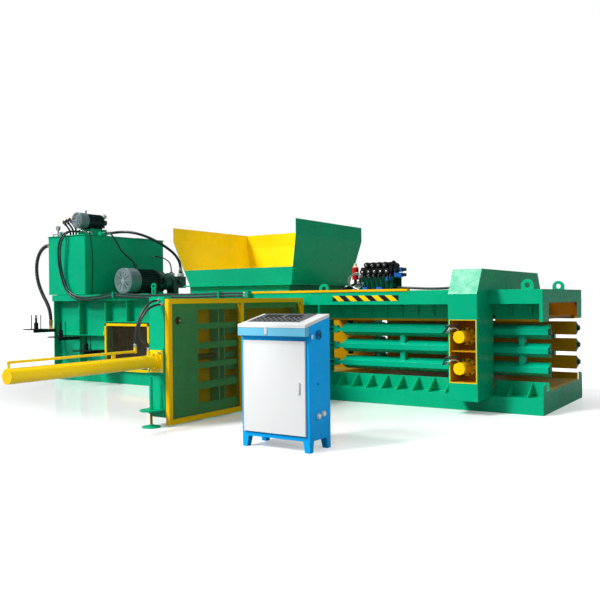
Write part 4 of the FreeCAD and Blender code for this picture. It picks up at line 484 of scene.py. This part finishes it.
def front_route(second):
    """Down the tank's front and along the ledge; the second hose lies beside and above the first."""
    apart, lift = (HOSES_APART, HOSE_LIFT) if second else (0.0, 0.0)
    x, y, z = FRONT_START
    points = []
    for i, (dx, dy, dz) in enumerate(FRONT_DROP):
        closer = apart * (1 - 0.05 * max(i - 1, 0))
        points.append((x + dx + closer, y + dy, z + dz + lift * max(i - 5, 0) / 4))
    return points + [(along, LEDGE_Y, height + lift) for along, height in LEDGE_RUN]


def ribbed_route():
    """Each run is its length and its slope in degrees."""
    x, y, z = RIBBED_START
    points = [RIBBED_START]
    for run, slope in RIBBED_RUNS:
        x -= run * math.cos(math.radians(slope))
        z -= run * math.sin(math.radians(slope))
        points.append((x, y, z))
    return points


# name: (solid that it stands for, diameter in mm, length in m, points in mm)
ROUTES = {
    "front_hose_a": ("front_hoses", 28, 4.928, front_route(False)),
    "front_hose_b": ("front_hoses", 28, 4.867, front_route(True)),
    "pump_hose": ("pump_hose", 46, 1.730, [
        (-3780, 130, 2428), (-3640, 130, 2428), (-3470, 138, 2434), (-3300, 162, 2430),
        (-3160, 208, 2405), (-3030, 278, 2362), (-2925, 362, 2305), (-2840, 455, 2238),
        (-2770, 560, 2160), (-2715, 660, 2075), (-2682, 744, 1975), (-2670, 795, 1860),
        (-2670, 795, 1750)]),
    "motor_cable": ("motor_cable", 26, 0.981, [
        (-3230, -420, 2368), (-3130, -420, 2368), (-3052, -415, 2335), (-3000, -395, 2260),
        (-2968, -355, 2165), (-2948, -305, 2075), (-2928, -235, 2005), (-2904, -155, 1950),
        (-2886, -80, 1880), (-2881.425, -65, 1784.75), (-2881.425, -65, 1687.75)]),
    "tank_hose": ("tank_hose", 22, 0.628, [
        (-3168, 640, 2022), (-3100, 640, 2022), (-3040, 636, 2015), (-2960, 628, 2002),
        (-2878, 618, 1978), (-2800, 608, 1945), (-2735, 600, 1895), (-2700, 595, 1813),
        (-2700, 595, 1735)]),
    "jack_hose_a": ("jack_hoses", 24, 0.608, [
        (850, -3355, 1255), (850, -3425, 1255), (844, -3502, 1222), (830, -3562, 1150),
        (814, -3604, 1055), (802, -3628, 960), (799, -3636, 872), (799, -3636, 802)]),
    "jack_hose_b": ("jack_hoses", 24, 0.694, [
        (893, -3355, 1215), (893, -3430, 1215), (880, -3520, 1185), (862, -3590, 1115),
        (842, -3622, 1025), (830, -3618, 940), (822, -3580, 872), (819, -3520, 846),
        (819, -3480, 822), (819, -3480, 762)]),
    "deck_hose": ("deck_hose", 30, 1.051, [
        (1980, -300, 1386), (2090, -300, 1386), (2250, -308, 1374), (2430, -334, 1366),
        (2620, -368, 1366), (2790, -398, 1372), (2920, -414, 1376), (3022, -414, 1376)]),
}


def spline(name, points, bevel):
    data = bpy.data.curves.new(name, "CURVE")
    data.dimensions = "3D"
    line = data.splines.new("NURBS")
    line.points.add(len(points) - 1)
    for p, co in zip(line.points, points):
        p.co = (*mm(*co), 1)
    line.order_u, line.use_endpoint_u = 3, True
    data.resolution_u, data.bevel_depth, data.bevel_resolution = 14, bevel, 5
    data.use_fill_caps = bevel > 0
    obj = bpy.data.objects.new(name, data)
    bpy.context.scene.collection.objects.link(obj)
    return obj


def mesh_of(curve):
    """The curve's points or surface as a mesh; the curve goes."""
    mesh = bpy.data.meshes.new_from_object(curve)
    bpy.data.objects.remove(curve)
    return mesh


def tube(name, runs, radius, mat):
    """Bent pipes or wires, each through its own points, as one mesh."""
    bm = bmesh.new()
    for points in runs:
        obj = spline("run", points, radius)
        obj.data.resolution_u, obj.data.bevel_resolution = 8, 3
        mesh = mesh_of(obj)
        bm.from_mesh(mesh)
        bpy.data.meshes.remove(mesh)
    add(name, bm, mat, ROOT, True)


def centreline(points):
    mesh = mesh_of(spline("line", points, 0))
    line = [v.co.copy() for v in mesh.vertices]
    bpy.data.meshes.remove(mesh)
    return line


def ferrules(name, points, diameter):
    """A crimped sleeve and a hexagon at both ends of a hose."""
    bm = bmesh.new()
    r, step = diameter / 2000, diameter / 1000
    for a, b in ((points[0], points[1]), (points[-1], points[-2])):
        start = Vector(mm(*a))
        axis = (Vector(mm(*b)) - start).normalized()
        turned(bm, start, axis, [(0, r * 1.5), (step * 0.45, r * 1.5)], 6)
        rings = [(step * 0.45, r * 1.12)]
        for i in range(4):
            s = step * (0.5 + 0.22 * i)
            rings += [(s, r * 1.28), (s + step * 0.13, r * 1.28), (s + step * 0.16, r * 1.16)]
        rings.append((step * 1.45, r * 1.05))
        turned(bm, start, axis, rings, 20)
    return add(name, bm, "zinc", ROOT, True)


def hoses():
    for name, (node, diameter, length, points) in ROUTES.items():
        obj = spline(name + "_line", points, diameter / 2000)
        obj.data.materials.append(M["hose"])
        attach(obj, ROOT)
        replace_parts(obj, node)
        ends = ferrules(name + "_ends", points, diameter)


RIBS, RIBBED_CUFF, RIBBED_SIDES = 46, 0.06, 20
SMOOTH_RADIUS = 0.0252
RIB_PROFILE = ((0.10, 0.0240), (0.24, 0.0288), (0.42, 0.030),
               (0.58, 0.030), (0.76, 0.0288), (0.90, 0.0240))


def ribbed():
    """The corrugated hose on the tank's side, swept along its own line."""
    points = ribbed_route()
    line = centreline(points)
    reach = [0.0]
    for a, b in zip(line, line[1:]):
        reach.append(reach[-1] + (b - a).length)
    pitch = (reach[-1] - 2 * RIBBED_CUFF) / RIBS
    stations = [(0.0, SMOOTH_RADIUS), (RIBBED_CUFF, SMOOTH_RADIUS)]
    for i in range(RIBS):
        stations += [(RIBBED_CUFF + i * pitch + pitch * f, r) for f, r in RIB_PROFILE]
    stations.append((reach[-1], SMOOTH_RADIUS))
    bm = bmesh.new()
    rings, side, k = [], Vector((0, 1, 0)), 0
    for s, r in stations:
        while k < len(line) - 2 and reach[k + 1] < s:
            k += 1
        along = (line[k + 1] - line[k]).normalized()
        at = line[k] + along * (s - reach[k])
        a = side.cross(along).normalized()
        rings.append([bm.verts.new(at + (a * math.cos(t) + side * math.sin(t)) * r)
                      for t in angles(RIBBED_SIDES)])
    skin(bm, rings)
    obj = add("ribbed_hose_tube", bm, "hose", ROOT, True)
    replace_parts(obj, "ribbed_hose")
    bm = bmesh.new()
    top = [(0, 0.038), (0.012, 0.038), (0.014, 0.034), (0.05, 0.033)]
    turned(bm, mm(*RIBBED_START), (-1, 0, 0), top, 20)
    turned(bm, mm(*points[-1]), (0, 0, 1), [(-0.03, 0.031), (0.05, 0.032), (0.054, 0.028)], 20)
    cuffs = add("ribbed_hose_cuffs", bm, "brass", ROOT, True)


hoses()
ribbed()


# ---------------------------------------------------------------- guard sheets and the housing door
GUARD_X = 0.946
GUARD_SPANS, GUARD_HEIGHTS = ((-3.305, -2.194), (-2.144, -0.966)), (0.065, 1.22)
GUARD_PITCH, GUARD_WIRE, GUARD_THICK = 0.0165, 0.0024, 0.0022


def guard():
    """Woven wire: upright and level strands, the level ones in front."""
    bm = bmesh.new()
    z0, z1 = GUARD_HEIGHTS
    half, front = GUARD_WIRE / 2, GUARD_X + GUARD_THICK * 0.7
    rows = int((z1 - z0) / GUARD_PITCH)
    for y0, y1 in GUARD_SPANS:
        columns = int((y1 - y0) / GUARD_PITCH)
        for i in range(columns + 1):
            y = y0 + (y1 - y0) * i / columns
            block(bm, GUARD_X, GUARD_X + GUARD_THICK, y - half, y + half, z0, z1)
        for j in range(rows + 1):
            z = z0 + (z1 - z0) * j / rows
            block(bm, front, front + GUARD_THICK, y0, y1, z - half, z + half)
    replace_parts(add("guard_wire", bm, "mesh", ROOT), "guard_mesh")


DOOR_X, DOOR_Y, DOOR_Z = (-2.706, -1.758), (-0.8905, -0.8605), (0.192, 0.914)
DOOR_BAR, DOOR_PIN_X, DOOR_PIN_Z = 0.04, -2.724, (0.33, 0.76)
DOOR_SLATS, DOOR_STAYS, SLAT_TILT = 34, 5, 0.6


def housing_door():
    """The yellow frame with its two knuckles, and the tilted slats with their stays."""
    (x0, x1), (y0, y1), (z0, z1) = DOOR_X, DOOR_Y, DOOR_Z
    bm = bmesh.new()
    for a, b, c, d in ((x0, x1, z0, z0 + DOOR_BAR), (x0, x1, z1 - DOOR_BAR, z1),
                       (x0, x0 + DOOR_BAR, z0, z1), (x1 - DOOR_BAR, x1, z0, z1)):
        block(bm, a, b, y0, y1, c, d)
    for z in DOOR_PIN_Z:
        turned(bm, (DOOR_PIN_X, -0.878, z - 0.0297), (0, 0, 1), [(0, 0.012), (0.06, 0.012)], 20)
        block(bm, DOOR_PIN_X, x0 + 0.01, -0.883, -0.873, z - 0.02, z + 0.02)
    bevel(add("housing_door_frame", bm, "yellow", "side_door"), 0.003)
    bm = bmesh.new()
    for j in range(DOOR_SLATS):
        z = z0 + 0.05 + (z1 - z0 - 0.1) * j / (DOOR_SLATS - 1)
        v = block(bm, x0 + DOOR_BAR, x1 - DOOR_BAR, -0.878, -0.875, z - 0.005, z + 0.005)
        bmesh.ops.rotate(bm, verts=v, cent=(0, -0.8765, z), matrix=Matrix.Rotation(SLAT_TILT, 3, "X"))
    for i in range(DOOR_STAYS):
        x = x0 + DOOR_BAR + (x1 - x0 - 2 * DOOR_BAR) * (i + 0.5) / DOOR_STAYS
        block(bm, x - 0.004, x + 0.004, -0.872, -0.868, z0 + DOOR_BAR, z1 - DOOR_BAR)
    slats = add("housing_door_slats", bm, "slat", "side_door")
    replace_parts(slats, "access_door")


guard()
housing_door()


# ---------------------------------------------------------------- markings, grilles and bolts
HAZARD_X, HAZARD_Y, HAZARD_Z = (1.370, 2.270), (-0.8625, -0.860), (1.222, 1.290)
GRILLE_RINGS, GRILLE_SPOKES, GRILLE_WIRE = 6, 8, 0.0028


def hazard():
    bm = bmesh.new()
    block(bm, *HAZARD_X, *HAZARD_Y, *HAZARD_Z)
    bevel(add("hazard_plate", bm, "hazard", ROOT), 0.0008, 1)


def fan_grille(name, x, y, z, radius):
    """Rings and spokes pressed over the cowl's air inlet."""
    bm = bmesh.new()
    for i in range(1, GRILLE_RINGS + 1):
        turned_ring(bm, (x, y - 0.002, z), (0, 1, 0), radius * (0.16 + 0.105 * i), GRILLE_WIRE)
    for a in angles(GRILLE_SPOKES):
        v = block(bm, -0.004, 0.004, -0.003, 0.003, radius * 0.1, radius * 0.8)
        bmesh.ops.rotate(bm, verts=v, cent=(0, 0, 0), matrix=Matrix.Rotation(a, 3, "Y"))
        bmesh.ops.translate(bm, verts=v, vec=(x, y - 0.002, z))
    hub = [(0, radius * 0.1), (0.003, radius * 0.14), (0.006, radius * 0.14)]
    turned(bm, (x, y - 0.006, z), (0, 1, 0), hub, 20)
    add(name, bm, "grille", ROOT, True)


def around(centre, radius, count, start):
    """Points on a circle square to Y."""
    x, y, z = centre
    return [(x + radius * math.cos(start + a), y, z + radius * math.sin(start + a))
            for a in angles(count)]


def fasteners():
    for name, s in (("clamp_flange_bolts_front", -1), ("clamp_flange_bolts_rear", 1)):
        places = [p for z in (0.490, 0.830) for p in around((3.141, s * 0.958, z), 0.083, 8, 0.39)]
        bolts(name, places, (0, s, 0), 0.009, "black")
    jack = [(0.819 + x, -3.399, 0.65 + z) for x in (-0.072, 0.072) for z in (-0.088, 0.088)]
    bolts("jack_flange_bolts", jack, (0, -1, 0), 0.012)
    neck = [(-1.12 + 0.17 * i, y, 1.462) for i in range(11) for y in (-0.782, 0.782)]
    bolts("neck_bolts", neck, (0, 0, 1), 0.009, "green")
    bolts("pump_flange_bolts", around((-2.7, 0.179, 1.575), 0.169, 8, 0.2), (0, 1, 0), 0.009)
    lid = [(x, -0.84 + 0.285 * i, 2.318) for x in (-4.03, -3.186) for i in range(7)]
    bolts("lid_bolts", lid, (0, 0, 1), 0.007)
    plate = [(0.978, y, z) for y in (-3.33, -2.169, -0.941) for z in (0.1, 0.65, 1.2)]
    bolts("frame_plate_bolts", plate, (1, 0, 0), 0.007)


hazard()
fan_grille("pump_fan_grille", -2.7, -0.505, 1.575, 0.205)
fan_grille("cooler_fan_grille", -3.620, -0.640, 2.582, 0.132)
fasteners()


# ---------------------------------------------------------------- console details
CONSOLE_LEFT, CONSOLE_RIGHT, CONSOLE_FRONT = 2.170, 2.855, -3.715
LID_FRONT_Z, LID_SLOPE = 1.030, 70.0 / 325.0
PANEL_FOOT, PANEL_TOP = 0.0305, 0.0335
KEY_COLUMNS, KEY_ROWS, VENT_RINGS = 9, 3, 5


def on_lid(x, behind, lift):
    """A point on the sloping lid, so far behind the console's front and above the lid's inner face."""
    return x, CONSOLE_FRONT + behind, LID_FRONT_Z + LID_SLOPE * behind + lift


def console():
    """Panel with keys and screens, latch, vent, cable glands and socket."""
    left, right, front = CONSOLE_LEFT, CONSOLE_RIGHT, CONSOLE_FRONT
    bm = bmesh.new()
    corners = ((left + 0.047, 0.013), (left + 0.047, 0.300),
               (right - 0.107, 0.300), (right - 0.107, 0.013))
    skin(bm, [[bm.verts.new(on_lid(x, behind, lift)) for x, behind in corners]
              for lift in (PANEL_FOOT, PANEL_TOP)])
    bevel(add("console_panel", bm, "grey", "cabinet_lid"), 0.001, 1)
    bm = bmesh.new()
    for i in range(KEY_COLUMNS):
        for j in range(KEY_ROWS):
            at = on_lid(left + 0.10 + 0.052 * i, 0.055 + 0.048 * j, PANEL_TOP)
            turned(bm, at, (0, -LID_SLOPE, 1), [(0, 0.010), (0.004, 0.010), (0.006, 0.007)], 16)
    add("console_keys", bm, "black", "cabinet_lid", True)
    bm = bmesh.new()
    for x, width in ((left + 0.11, 0.16), (left + 0.33, 0.15)):
        x, y, z = on_lid(x, 0.215, PANEL_TOP)
        v = block(bm, x, x + width, y - 0.035, y + 0.035, z - 0.001, z + 0.0035)
        tilt = Matrix.Rotation(math.atan(LID_SLOPE), 3, "X")
        bmesh.ops.rotate(bm, verts=v, cent=(x, y, z), matrix=tilt)
    bevel(add("console_screens", bm, "black", "cabinet_lid"), 0.002, 1)
    bm = bmesh.new()
    block(bm, 2.452, 2.482, front - 0.0605, front - 0.055, 0.962, 1.028)
    block(bm, 2.457, 2.477, front - 0.0665, front - 0.0605, 0.968, 1.002)
    turned_ring(bm, (2.467, front - 0.063, 1.012), (0, 1, 0), 0.009, 0.002, 20, 6)
    bevel(add("lid_latch", bm, "satin", ROOT), 0.001, 1)
    bm = bmesh.new()
    for i in range(VENT_RINGS):
        turned_ring(bm, (right + 0.0065, -3.573, 0.957), (1, 0, 0), 0.006 + 0.0085 * i, 0.0022)
    add("vent_rings", bm, "black", ROOT, True)
    bm = bmesh.new()
    for y, z in ((-3.593, 0.290), (-3.520, 0.302)):
        turned(bm, (right + 0.004, y, z), (1, 0, 0), [(0, 0.026), (0.008, 0.026)], 6)
        nose = [(0, 0.022), (0.014, 0.0215), (0.019, 0.014)]
        turned(bm, (right + 0.012, y, z), (1, 0, 0), nose, 20)
    add("console_glands", bm, "satin", ROOT, True)
    bm = bmesh.new()
    block(bm, right + 0.0122, right + 0.0142, -3.697, -3.669, 0.928, 0.962)
    bevel(add("socket_face", bm, "door", ROOT), 0.001, 1)


# ---------------------------------------------------------------- valve block
CAP_PITCH = 0.085
LOWER_CAPS = [(1.57 + CAP_PITCH * i, 1.590) for i in range(5)]
UPPER_CAPS = [(1.615 + CAP_PITCH * i, 1.675) for i in range(4)]
SOLENOID_Z = (1.545, 1.610)


def valve_caps():
    """Bright plugs in the caps, the caps' black rims, and the plugs at the block's right end."""
    bm = bmesh.new()
    for x, z in LOWER_CAPS:
        turned(bm, (x, -0.4605, z), (0, -1, 0), [(0, 0.013), (0.004, 0.013), (0.006, 0.009)], 16)
    for x, z in UPPER_CAPS:
        turned(bm, (x, -0.4405, z), (0, -1, 0), [(0, 0.014), (0.005, 0.013)], 16)
    for i in range(6):
        turned(bm, (1.548 + 0.078 * i, -0.401, 1.545), (0, -1, 0), [(0, 0.015), (0.02, 0.015)], 6)
    add("valve_plugs", bm, "zinc", ROOT, True)
    bm = bmesh.new()
    back = [(0, 0.034), (0.14, 0.034), (0.15, 0.038), (0.17, 0.038), (0.18, 0.034), (0.2, 0.032)]
    for x, z in UPPER_CAPS:
        turned(bm, (x, -0.24, z), (0, -1, 0), back)
    for x, z in LOWER_CAPS:
        for y in (-0.4615, -0.425):
            turned(bm, (x, y, z), (0, 1, 0), [(0, 0.034), (0.008, 0.036), (0.016, 0.034)])
        turned(bm, (x, -0.295, 1.7), (0, 0, 1), [(0, 0.0365), (0.012, 0.0365)])
    for z in SOLENOID_Z:
        block(bm, 2.08, 2.125, -0.372, -0.328, z - 0.02, z + 0.02)
    for x, z in ((1.93, 1.66), (1.975, 1.63), (1.99, 1.585)):
        plug = [(-0.03, 0.026), (0.05, 0.026), (0.055, 0.032), (0.075, 0.032)]
        turned(bm, (x, -0.36, z), (0.75, -0.35, 0.5), plug, 20)
    bevel(add("valve_caps", bm, "black", ROOT, True), 0.002, 1)


def valve_lines():
    """The coils' ribs and plugs, and the thin pipes and cables that crowd round the block."""
    bm = bmesh.new()
    for z in SOLENOID_Z:
        for x in (2.0, 2.03, 2.06):
            block(bm, x, x + 0.012, -0.386, -0.314, z - 0.028, z + 0.028)
    for x in (1.62, 1.82):
        block(bm, x - 0.03, x + 0.03, -0.496, -0.49, 1.35, 1.388)
    block(bm, 1.90, 1.96, -0.452, -0.40, 1.47, 1.52)
    bevel(add("coil_ribs", bm, "blue_coil", ROOT), 0.0015, 1)
    runs = []
    for i in range(7):
        x = 1535 + 66 * i
        runs.append([(x, -415, 1545), (x, -452, 1545), (x + 8, -470, 1500), (x + 20, -462, 1430),
                     (x + 14, -440, 1390), (x + 10, -440, 1344)])
    tube("valve_pipes", runs, 0.009, "black")
    runs = []
    for i in range(4):
        x, r = 1425 + 24 * i, 76 + 10 * i
        turn = [(x + r * math.cos(a), -450 - 8 * i, 1482 + r * math.sin(a))
                for a in [1.2 + 0.62 * k for k in range(9)]]
        runs.append([(x + 60, -430 - 6 * i, 1560 - 12 * i)] + turn
                    + [(x + 90, -440, 1400), (x + 110, -430, 1344)])
    tube("valve_wires", runs, 0.0045, "zinc")
    runs = []
    for i in range(4):
        x = 1250 + 40 * i
        runs.append([(1540, -380 + 40 * i, 1480 - 22 * i), (1480, -400 + 36 * i, 1470 - 22 * i),
                     (1400, -450 + 20 * i, 1420 - 10 * i), (x, -480 + 20 * i, 1370),
                     (x - 60, -480 + 20 * i, 1344)])
    tube("valve_feed", runs, 0.011, "black")


# ---------------------------------------------------------------- clamps, tank and guard
def clamp_pipes():
    """The bent pipes that leave each front clamp cylinder to the left and climb to the beam."""
    dark, bright = [], []
    for z, shift in ((490, 0), (830, 22)):
        x = 2950 + shift
        bright.append([(3120, -1150, z + 66), (3112, -1165, z + 92), (3085, -1205, z + 98),
                       (3050, -1222, z + 84), (3020, -1224, z + 66)])
        dark.append([(3022, -1224, z + 67), (2985, -1226, z + 48), (2958, -1205, z + 40),
                     (x, -1150, z + 66), (x + 12, -1050, z + 130), (x + 26, -900, 1060),
                     (x + 26, -800, 1130), (x + 26, -790, 1180)])
        dark.append([(3140, -1120, z + 64), (3130, -1150, z + 112), (3085, -1195, z + 128),
                     (3030, -1225, z + 124), (2990, -1215, z + 108), (2975, -1150, z + 112),
                     (2985, -1040, z + 160), (2990, -880, 1070), (2990, -760, 1120), (2990, -750, 1180)])
    tube("clamp_pipe_ends", bright, 0.009, "zinc")
    tube("clamp_pipe_runs", dark, 0.0095, "hose")


GLAND_AXIS = (-0.72, 0, 0.69)


def tank_details():
    """The thin cable down the tank's side, the small motor's fittings and the lid's pipe loops."""
    tube("tank_cable", [[(-3162, -760, 2322), (-3161, -752, 2290), (-3162, -714, 2087),
                         (-3162, -708, 1769), (-3162, -733, 1403), (-3162, -735, 1362)]], 0.0055, "black")
    tube("lid_pipes", [[(-3560, -560, 2322), (-3560, -600, 2380), (-3530, -630, 2410),
                        (-3480, -600, 2400), (-3460, -560, 2360), (-3460, -540, 2322)],
                       [(-3400, -560, 2322), (-3400, -600, 2370), (-3370, -620, 2385),
                        (-3330, -580, 2370), (-3325, -560, 2322)]], 0.011, "zinc")
    runs, tips = [], []
    for k in range(3):
        x, y, z = -3800 + 52 * k, -640 + 14 * k, 2440 + 22 * k
        runs.append([(x + 30, y, 2322), (x + 30, y, z - 50), (x, y, z), (x - 40, y, z + 38),
                     (x - 120, y, z + 115)])
        tips.append(mm(x - 118, y, z + 113))
    tube("lid_cables", runs, 0.015, "black")
    bm = bmesh.new()
    for tip in tips:
        turned(bm, tip, GLAND_AXIS, [(-0.05, 0.021), (0.0, 0.021), (0.001, 0.026), (0.03, 0.026)], 16)
    add("cable_sleeves", bm, "black", ROOT, True)
    bm = bmesh.new()
    for tip in tips:
        turned(bm, tip, GLAND_AXIS, [(0.03, 0.017), (0.055, 0.017), (0.06, 0.013)], 16)
    turned(bm, (-3.62, -0.045, 2.655), (0, 0, 1), [(0, 0.021), (0.02, 0.021)], 16)
    add("gland_rings", bm, "brass", ROOT, True)
    bm = bmesh.new()
    for x, y in ((-2.742, 0.595), (-2.712, 0.795)):
        block(bm, x, x + 0.084, y - 0.042, y + 0.042, 1.665, 1.722)
    block(bm, -3.652, -3.588, -0.085, -0.02, 2.668, 2.712)
    turned(bm, (-3.62, -0.052, 2.712), (0, 0, 1), [(0, 0.017), (0.02, 0.015)], 16)
    bevel(add("port_blocks", bm, "satin", ROOT), 0.004, 1)


def guard_trim():
    """The lip under the guide's face plate, and thin strips of painted highlight along the edges of the
    carriage behind it.
    """
    bm = bmesh.new()
    block(bm, 0.8985, 0.9015, -3.24, -0.90, 0.042, 0.070)
    bevel(add("guide_lip", bm, "green", ROOT), 0.001, 1)
    low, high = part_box("needle_carriage")
    # Thin strips of painted highlight where the carriage's edges catch the light.
    bm = bmesh.new()
    for y in (-2.479, -2.381):
        block(bm, 0.8790, 0.8802, y, y + 0.010, low[2] + 0.01, high[2] - 0.01)
    bevel(add("carriage_edge_highlights", bm, "highlight_green", "needle_unit"), 0.001, 1)


def knob():
    """The black knob on the guide's face plate, with its pale cap."""
    bm = bmesh.new()
    body = [(0, 0.04), (0.004, 0.04), (0.006, 0.030), (0.024, 0.028), (0.028, 0.022)]
    turned(bm, (0.9, -3.141, 1.047), (1, 0, 0), body)
    add("plate_knob", bm, "black", ROOT, True)
    bm = bmesh.new()
    turned(bm, (0.928, -3.141, 1.047), (1, 0, 0), [(0, 0.015), (0.003, 0.014)], 20)
    add("plate_knob_cap", bm, "door", ROOT, True)


console()
valve_caps()
valve_lines()
clamp_pipes()
tank_details()
guard_trim()
knob()


# ---------------------------------------------------------------- floor, light and world
FLOOR_REFLECTED, FLOOR_BOUNCED = (0.50, 0.52, 0.51), (0.22, 0.23, 0.225)
# Painted light on the floor, seen by the camera only: weak near the machine, strong far from it, so that
# its shadow is lightened; distances in metres.
PAINTED_LIGHT_NEAR, PAINTED_LIGHT_FAR = (1.8, 0.10), (3.6, 0.60)
WORLD_LEVEL, WORLD_REFLECTED_DROP = 0.40, -0.18
# name, direction, strength, angle across in degrees
SUNS = (("key", (0.40, 0.66, -0.64), 2.45, 12),
        ("sheen", (0.36, 0.44, -0.82), 1.5, 7),
        ("top", (0.05, 0.2, -1.0), 0.4, 60))
# name, place, direction, size in metres, watts
FILLS = (("hopper_fill", (0.45, 0.0, 2.15), (-1, 0, -0.15), 0.9, 11),
         ("console_fill", (4.2, -3.45, 0.9), (-1, 0, -0.1), 1.2, 7),
         ("cylinder_fill", (2.5, -4.7, 1.3), (-1, 0.05, -0.45), 0.8, 12))


def studio_floor():
    """A pale floor: white to the camera, darker in reflections and in the light it gives back, with
    painted light for the camera that grows away from the machine and lightens its shadow.
    """
    bm = bmesh.new()
    block(bm, -60, 60, -60, 60, -0.02, -0.0005)
    mesh = bpy.data.meshes.new("floor")
    bm.to_mesh(mesh)
    bm.free()
    floor = bpy.data.objects.new("floor", mesh)
    bpy.context.scene.collection.objects.link(floor)
    n = Nodes("studio_floor")
    path = n.tree.nodes.new("ShaderNodeLightPath")
    white = n.mix(n.ramp(n.noise(0.8, 2), 0.3, 0.7), (0.90, 0.90, 0.90), (0.93, 0.93, 0.93))
    seen = n.mix(path.outputs["Is Glossy Ray"], white, FLOOR_REFLECTED)
    n.link(n.mix(path.outputs["Is Diffuse Ray"], seen, FLOOR_BOUNCED), n.shader.inputs["Base Color"])
    n.shader.inputs["Roughness"].default_value = 0.12
    n.shader.inputs["Emission Color"].default_value = (1, 1, 1, 1)
    x, y, _ = n.split()
    # Painted light: the emission seen by the camera grows with distance from the machine and lightens its
    # shadow.
    side = n.math("ABSOLUTE", n.math("MULTIPLY", n.math("ADD", x, 0.3), 0.62))
    deep = n.math("POWER", n.math("ADD", y, 1.2), 2.0)
    away = n.math("SQRT", n.math("ADD", n.math("POWER", side, 2.0), deep))
    painted_light = n.ramp(away, PAINTED_LIGHT_NEAR[0], PAINTED_LIGHT_FAR[0], PAINTED_LIGHT_NEAR[1], PAINTED_LIGHT_FAR[1])
    n.link(n.math("MULTIPLY", path.outputs["Is Camera Ray"], painted_light), n.shader.inputs["Emission Strength"])
    mesh.materials.append(n.mat)


def studio_world():
    """White to the camera and through glass, and a dimmer even light on the object."""
    world = bpy.data.worlds.new("studio")
    bpy.context.scene.world = world
    world.use_nodes = True
    tree = world.node_tree
    back = tree.nodes["Background"]
    back.inputs[0].default_value = (1, 1, 1, 1)
    path = tree.nodes.new("ShaderNodeLightPath")

    def math_node(kind, a, b):
        node = tree.nodes.new("ShaderNodeMath")
        node.operation = kind
        tree.links.new(a, node.inputs[0])
        if b is not None:
            tree.links.new(b, node.inputs[1])
        return node

    seen = math_node("MAXIMUM", path.outputs["Is Camera Ray"], path.outputs["Is Transmission Ray"])
    light = math_node("MULTIPLY_ADD", path.outputs["Is Glossy Ray"], None)
    light.inputs[1].default_value, light.inputs[2].default_value = WORLD_REFLECTED_DROP, WORLD_LEVEL
    level = math_node("MAXIMUM", seen.outputs[0], light.outputs[0])
    tree.links.new(level.outputs[0], back.inputs[1])


def lamp(name, kind, towards, energy):
    data = bpy.data.lights.new(name, kind)
    data.energy = energy
    obj = bpy.data.objects.new(name, data)
    obj.rotation_mode = "QUATERNION"
    obj.rotation_quaternion = Vector(towards).to_track_quat("-Z", "Y")
    bpy.context.scene.collection.objects.link(obj)
    return obj


def lamps():
    for name, towards, strength, angle in SUNS:
        lamp(name, "SUN", towards, strength).data.angle = math.radians(angle)
    for name, at, towards, size, watts in FILLS:
        fill = lamp(name, "AREA", towards, watts)
        fill.data.size, fill.location, fill.visible_camera = size, at, False


studio_floor()
studio_world()
lamps()
bpy.context.scene.view_settings.view_transform = "Standard"
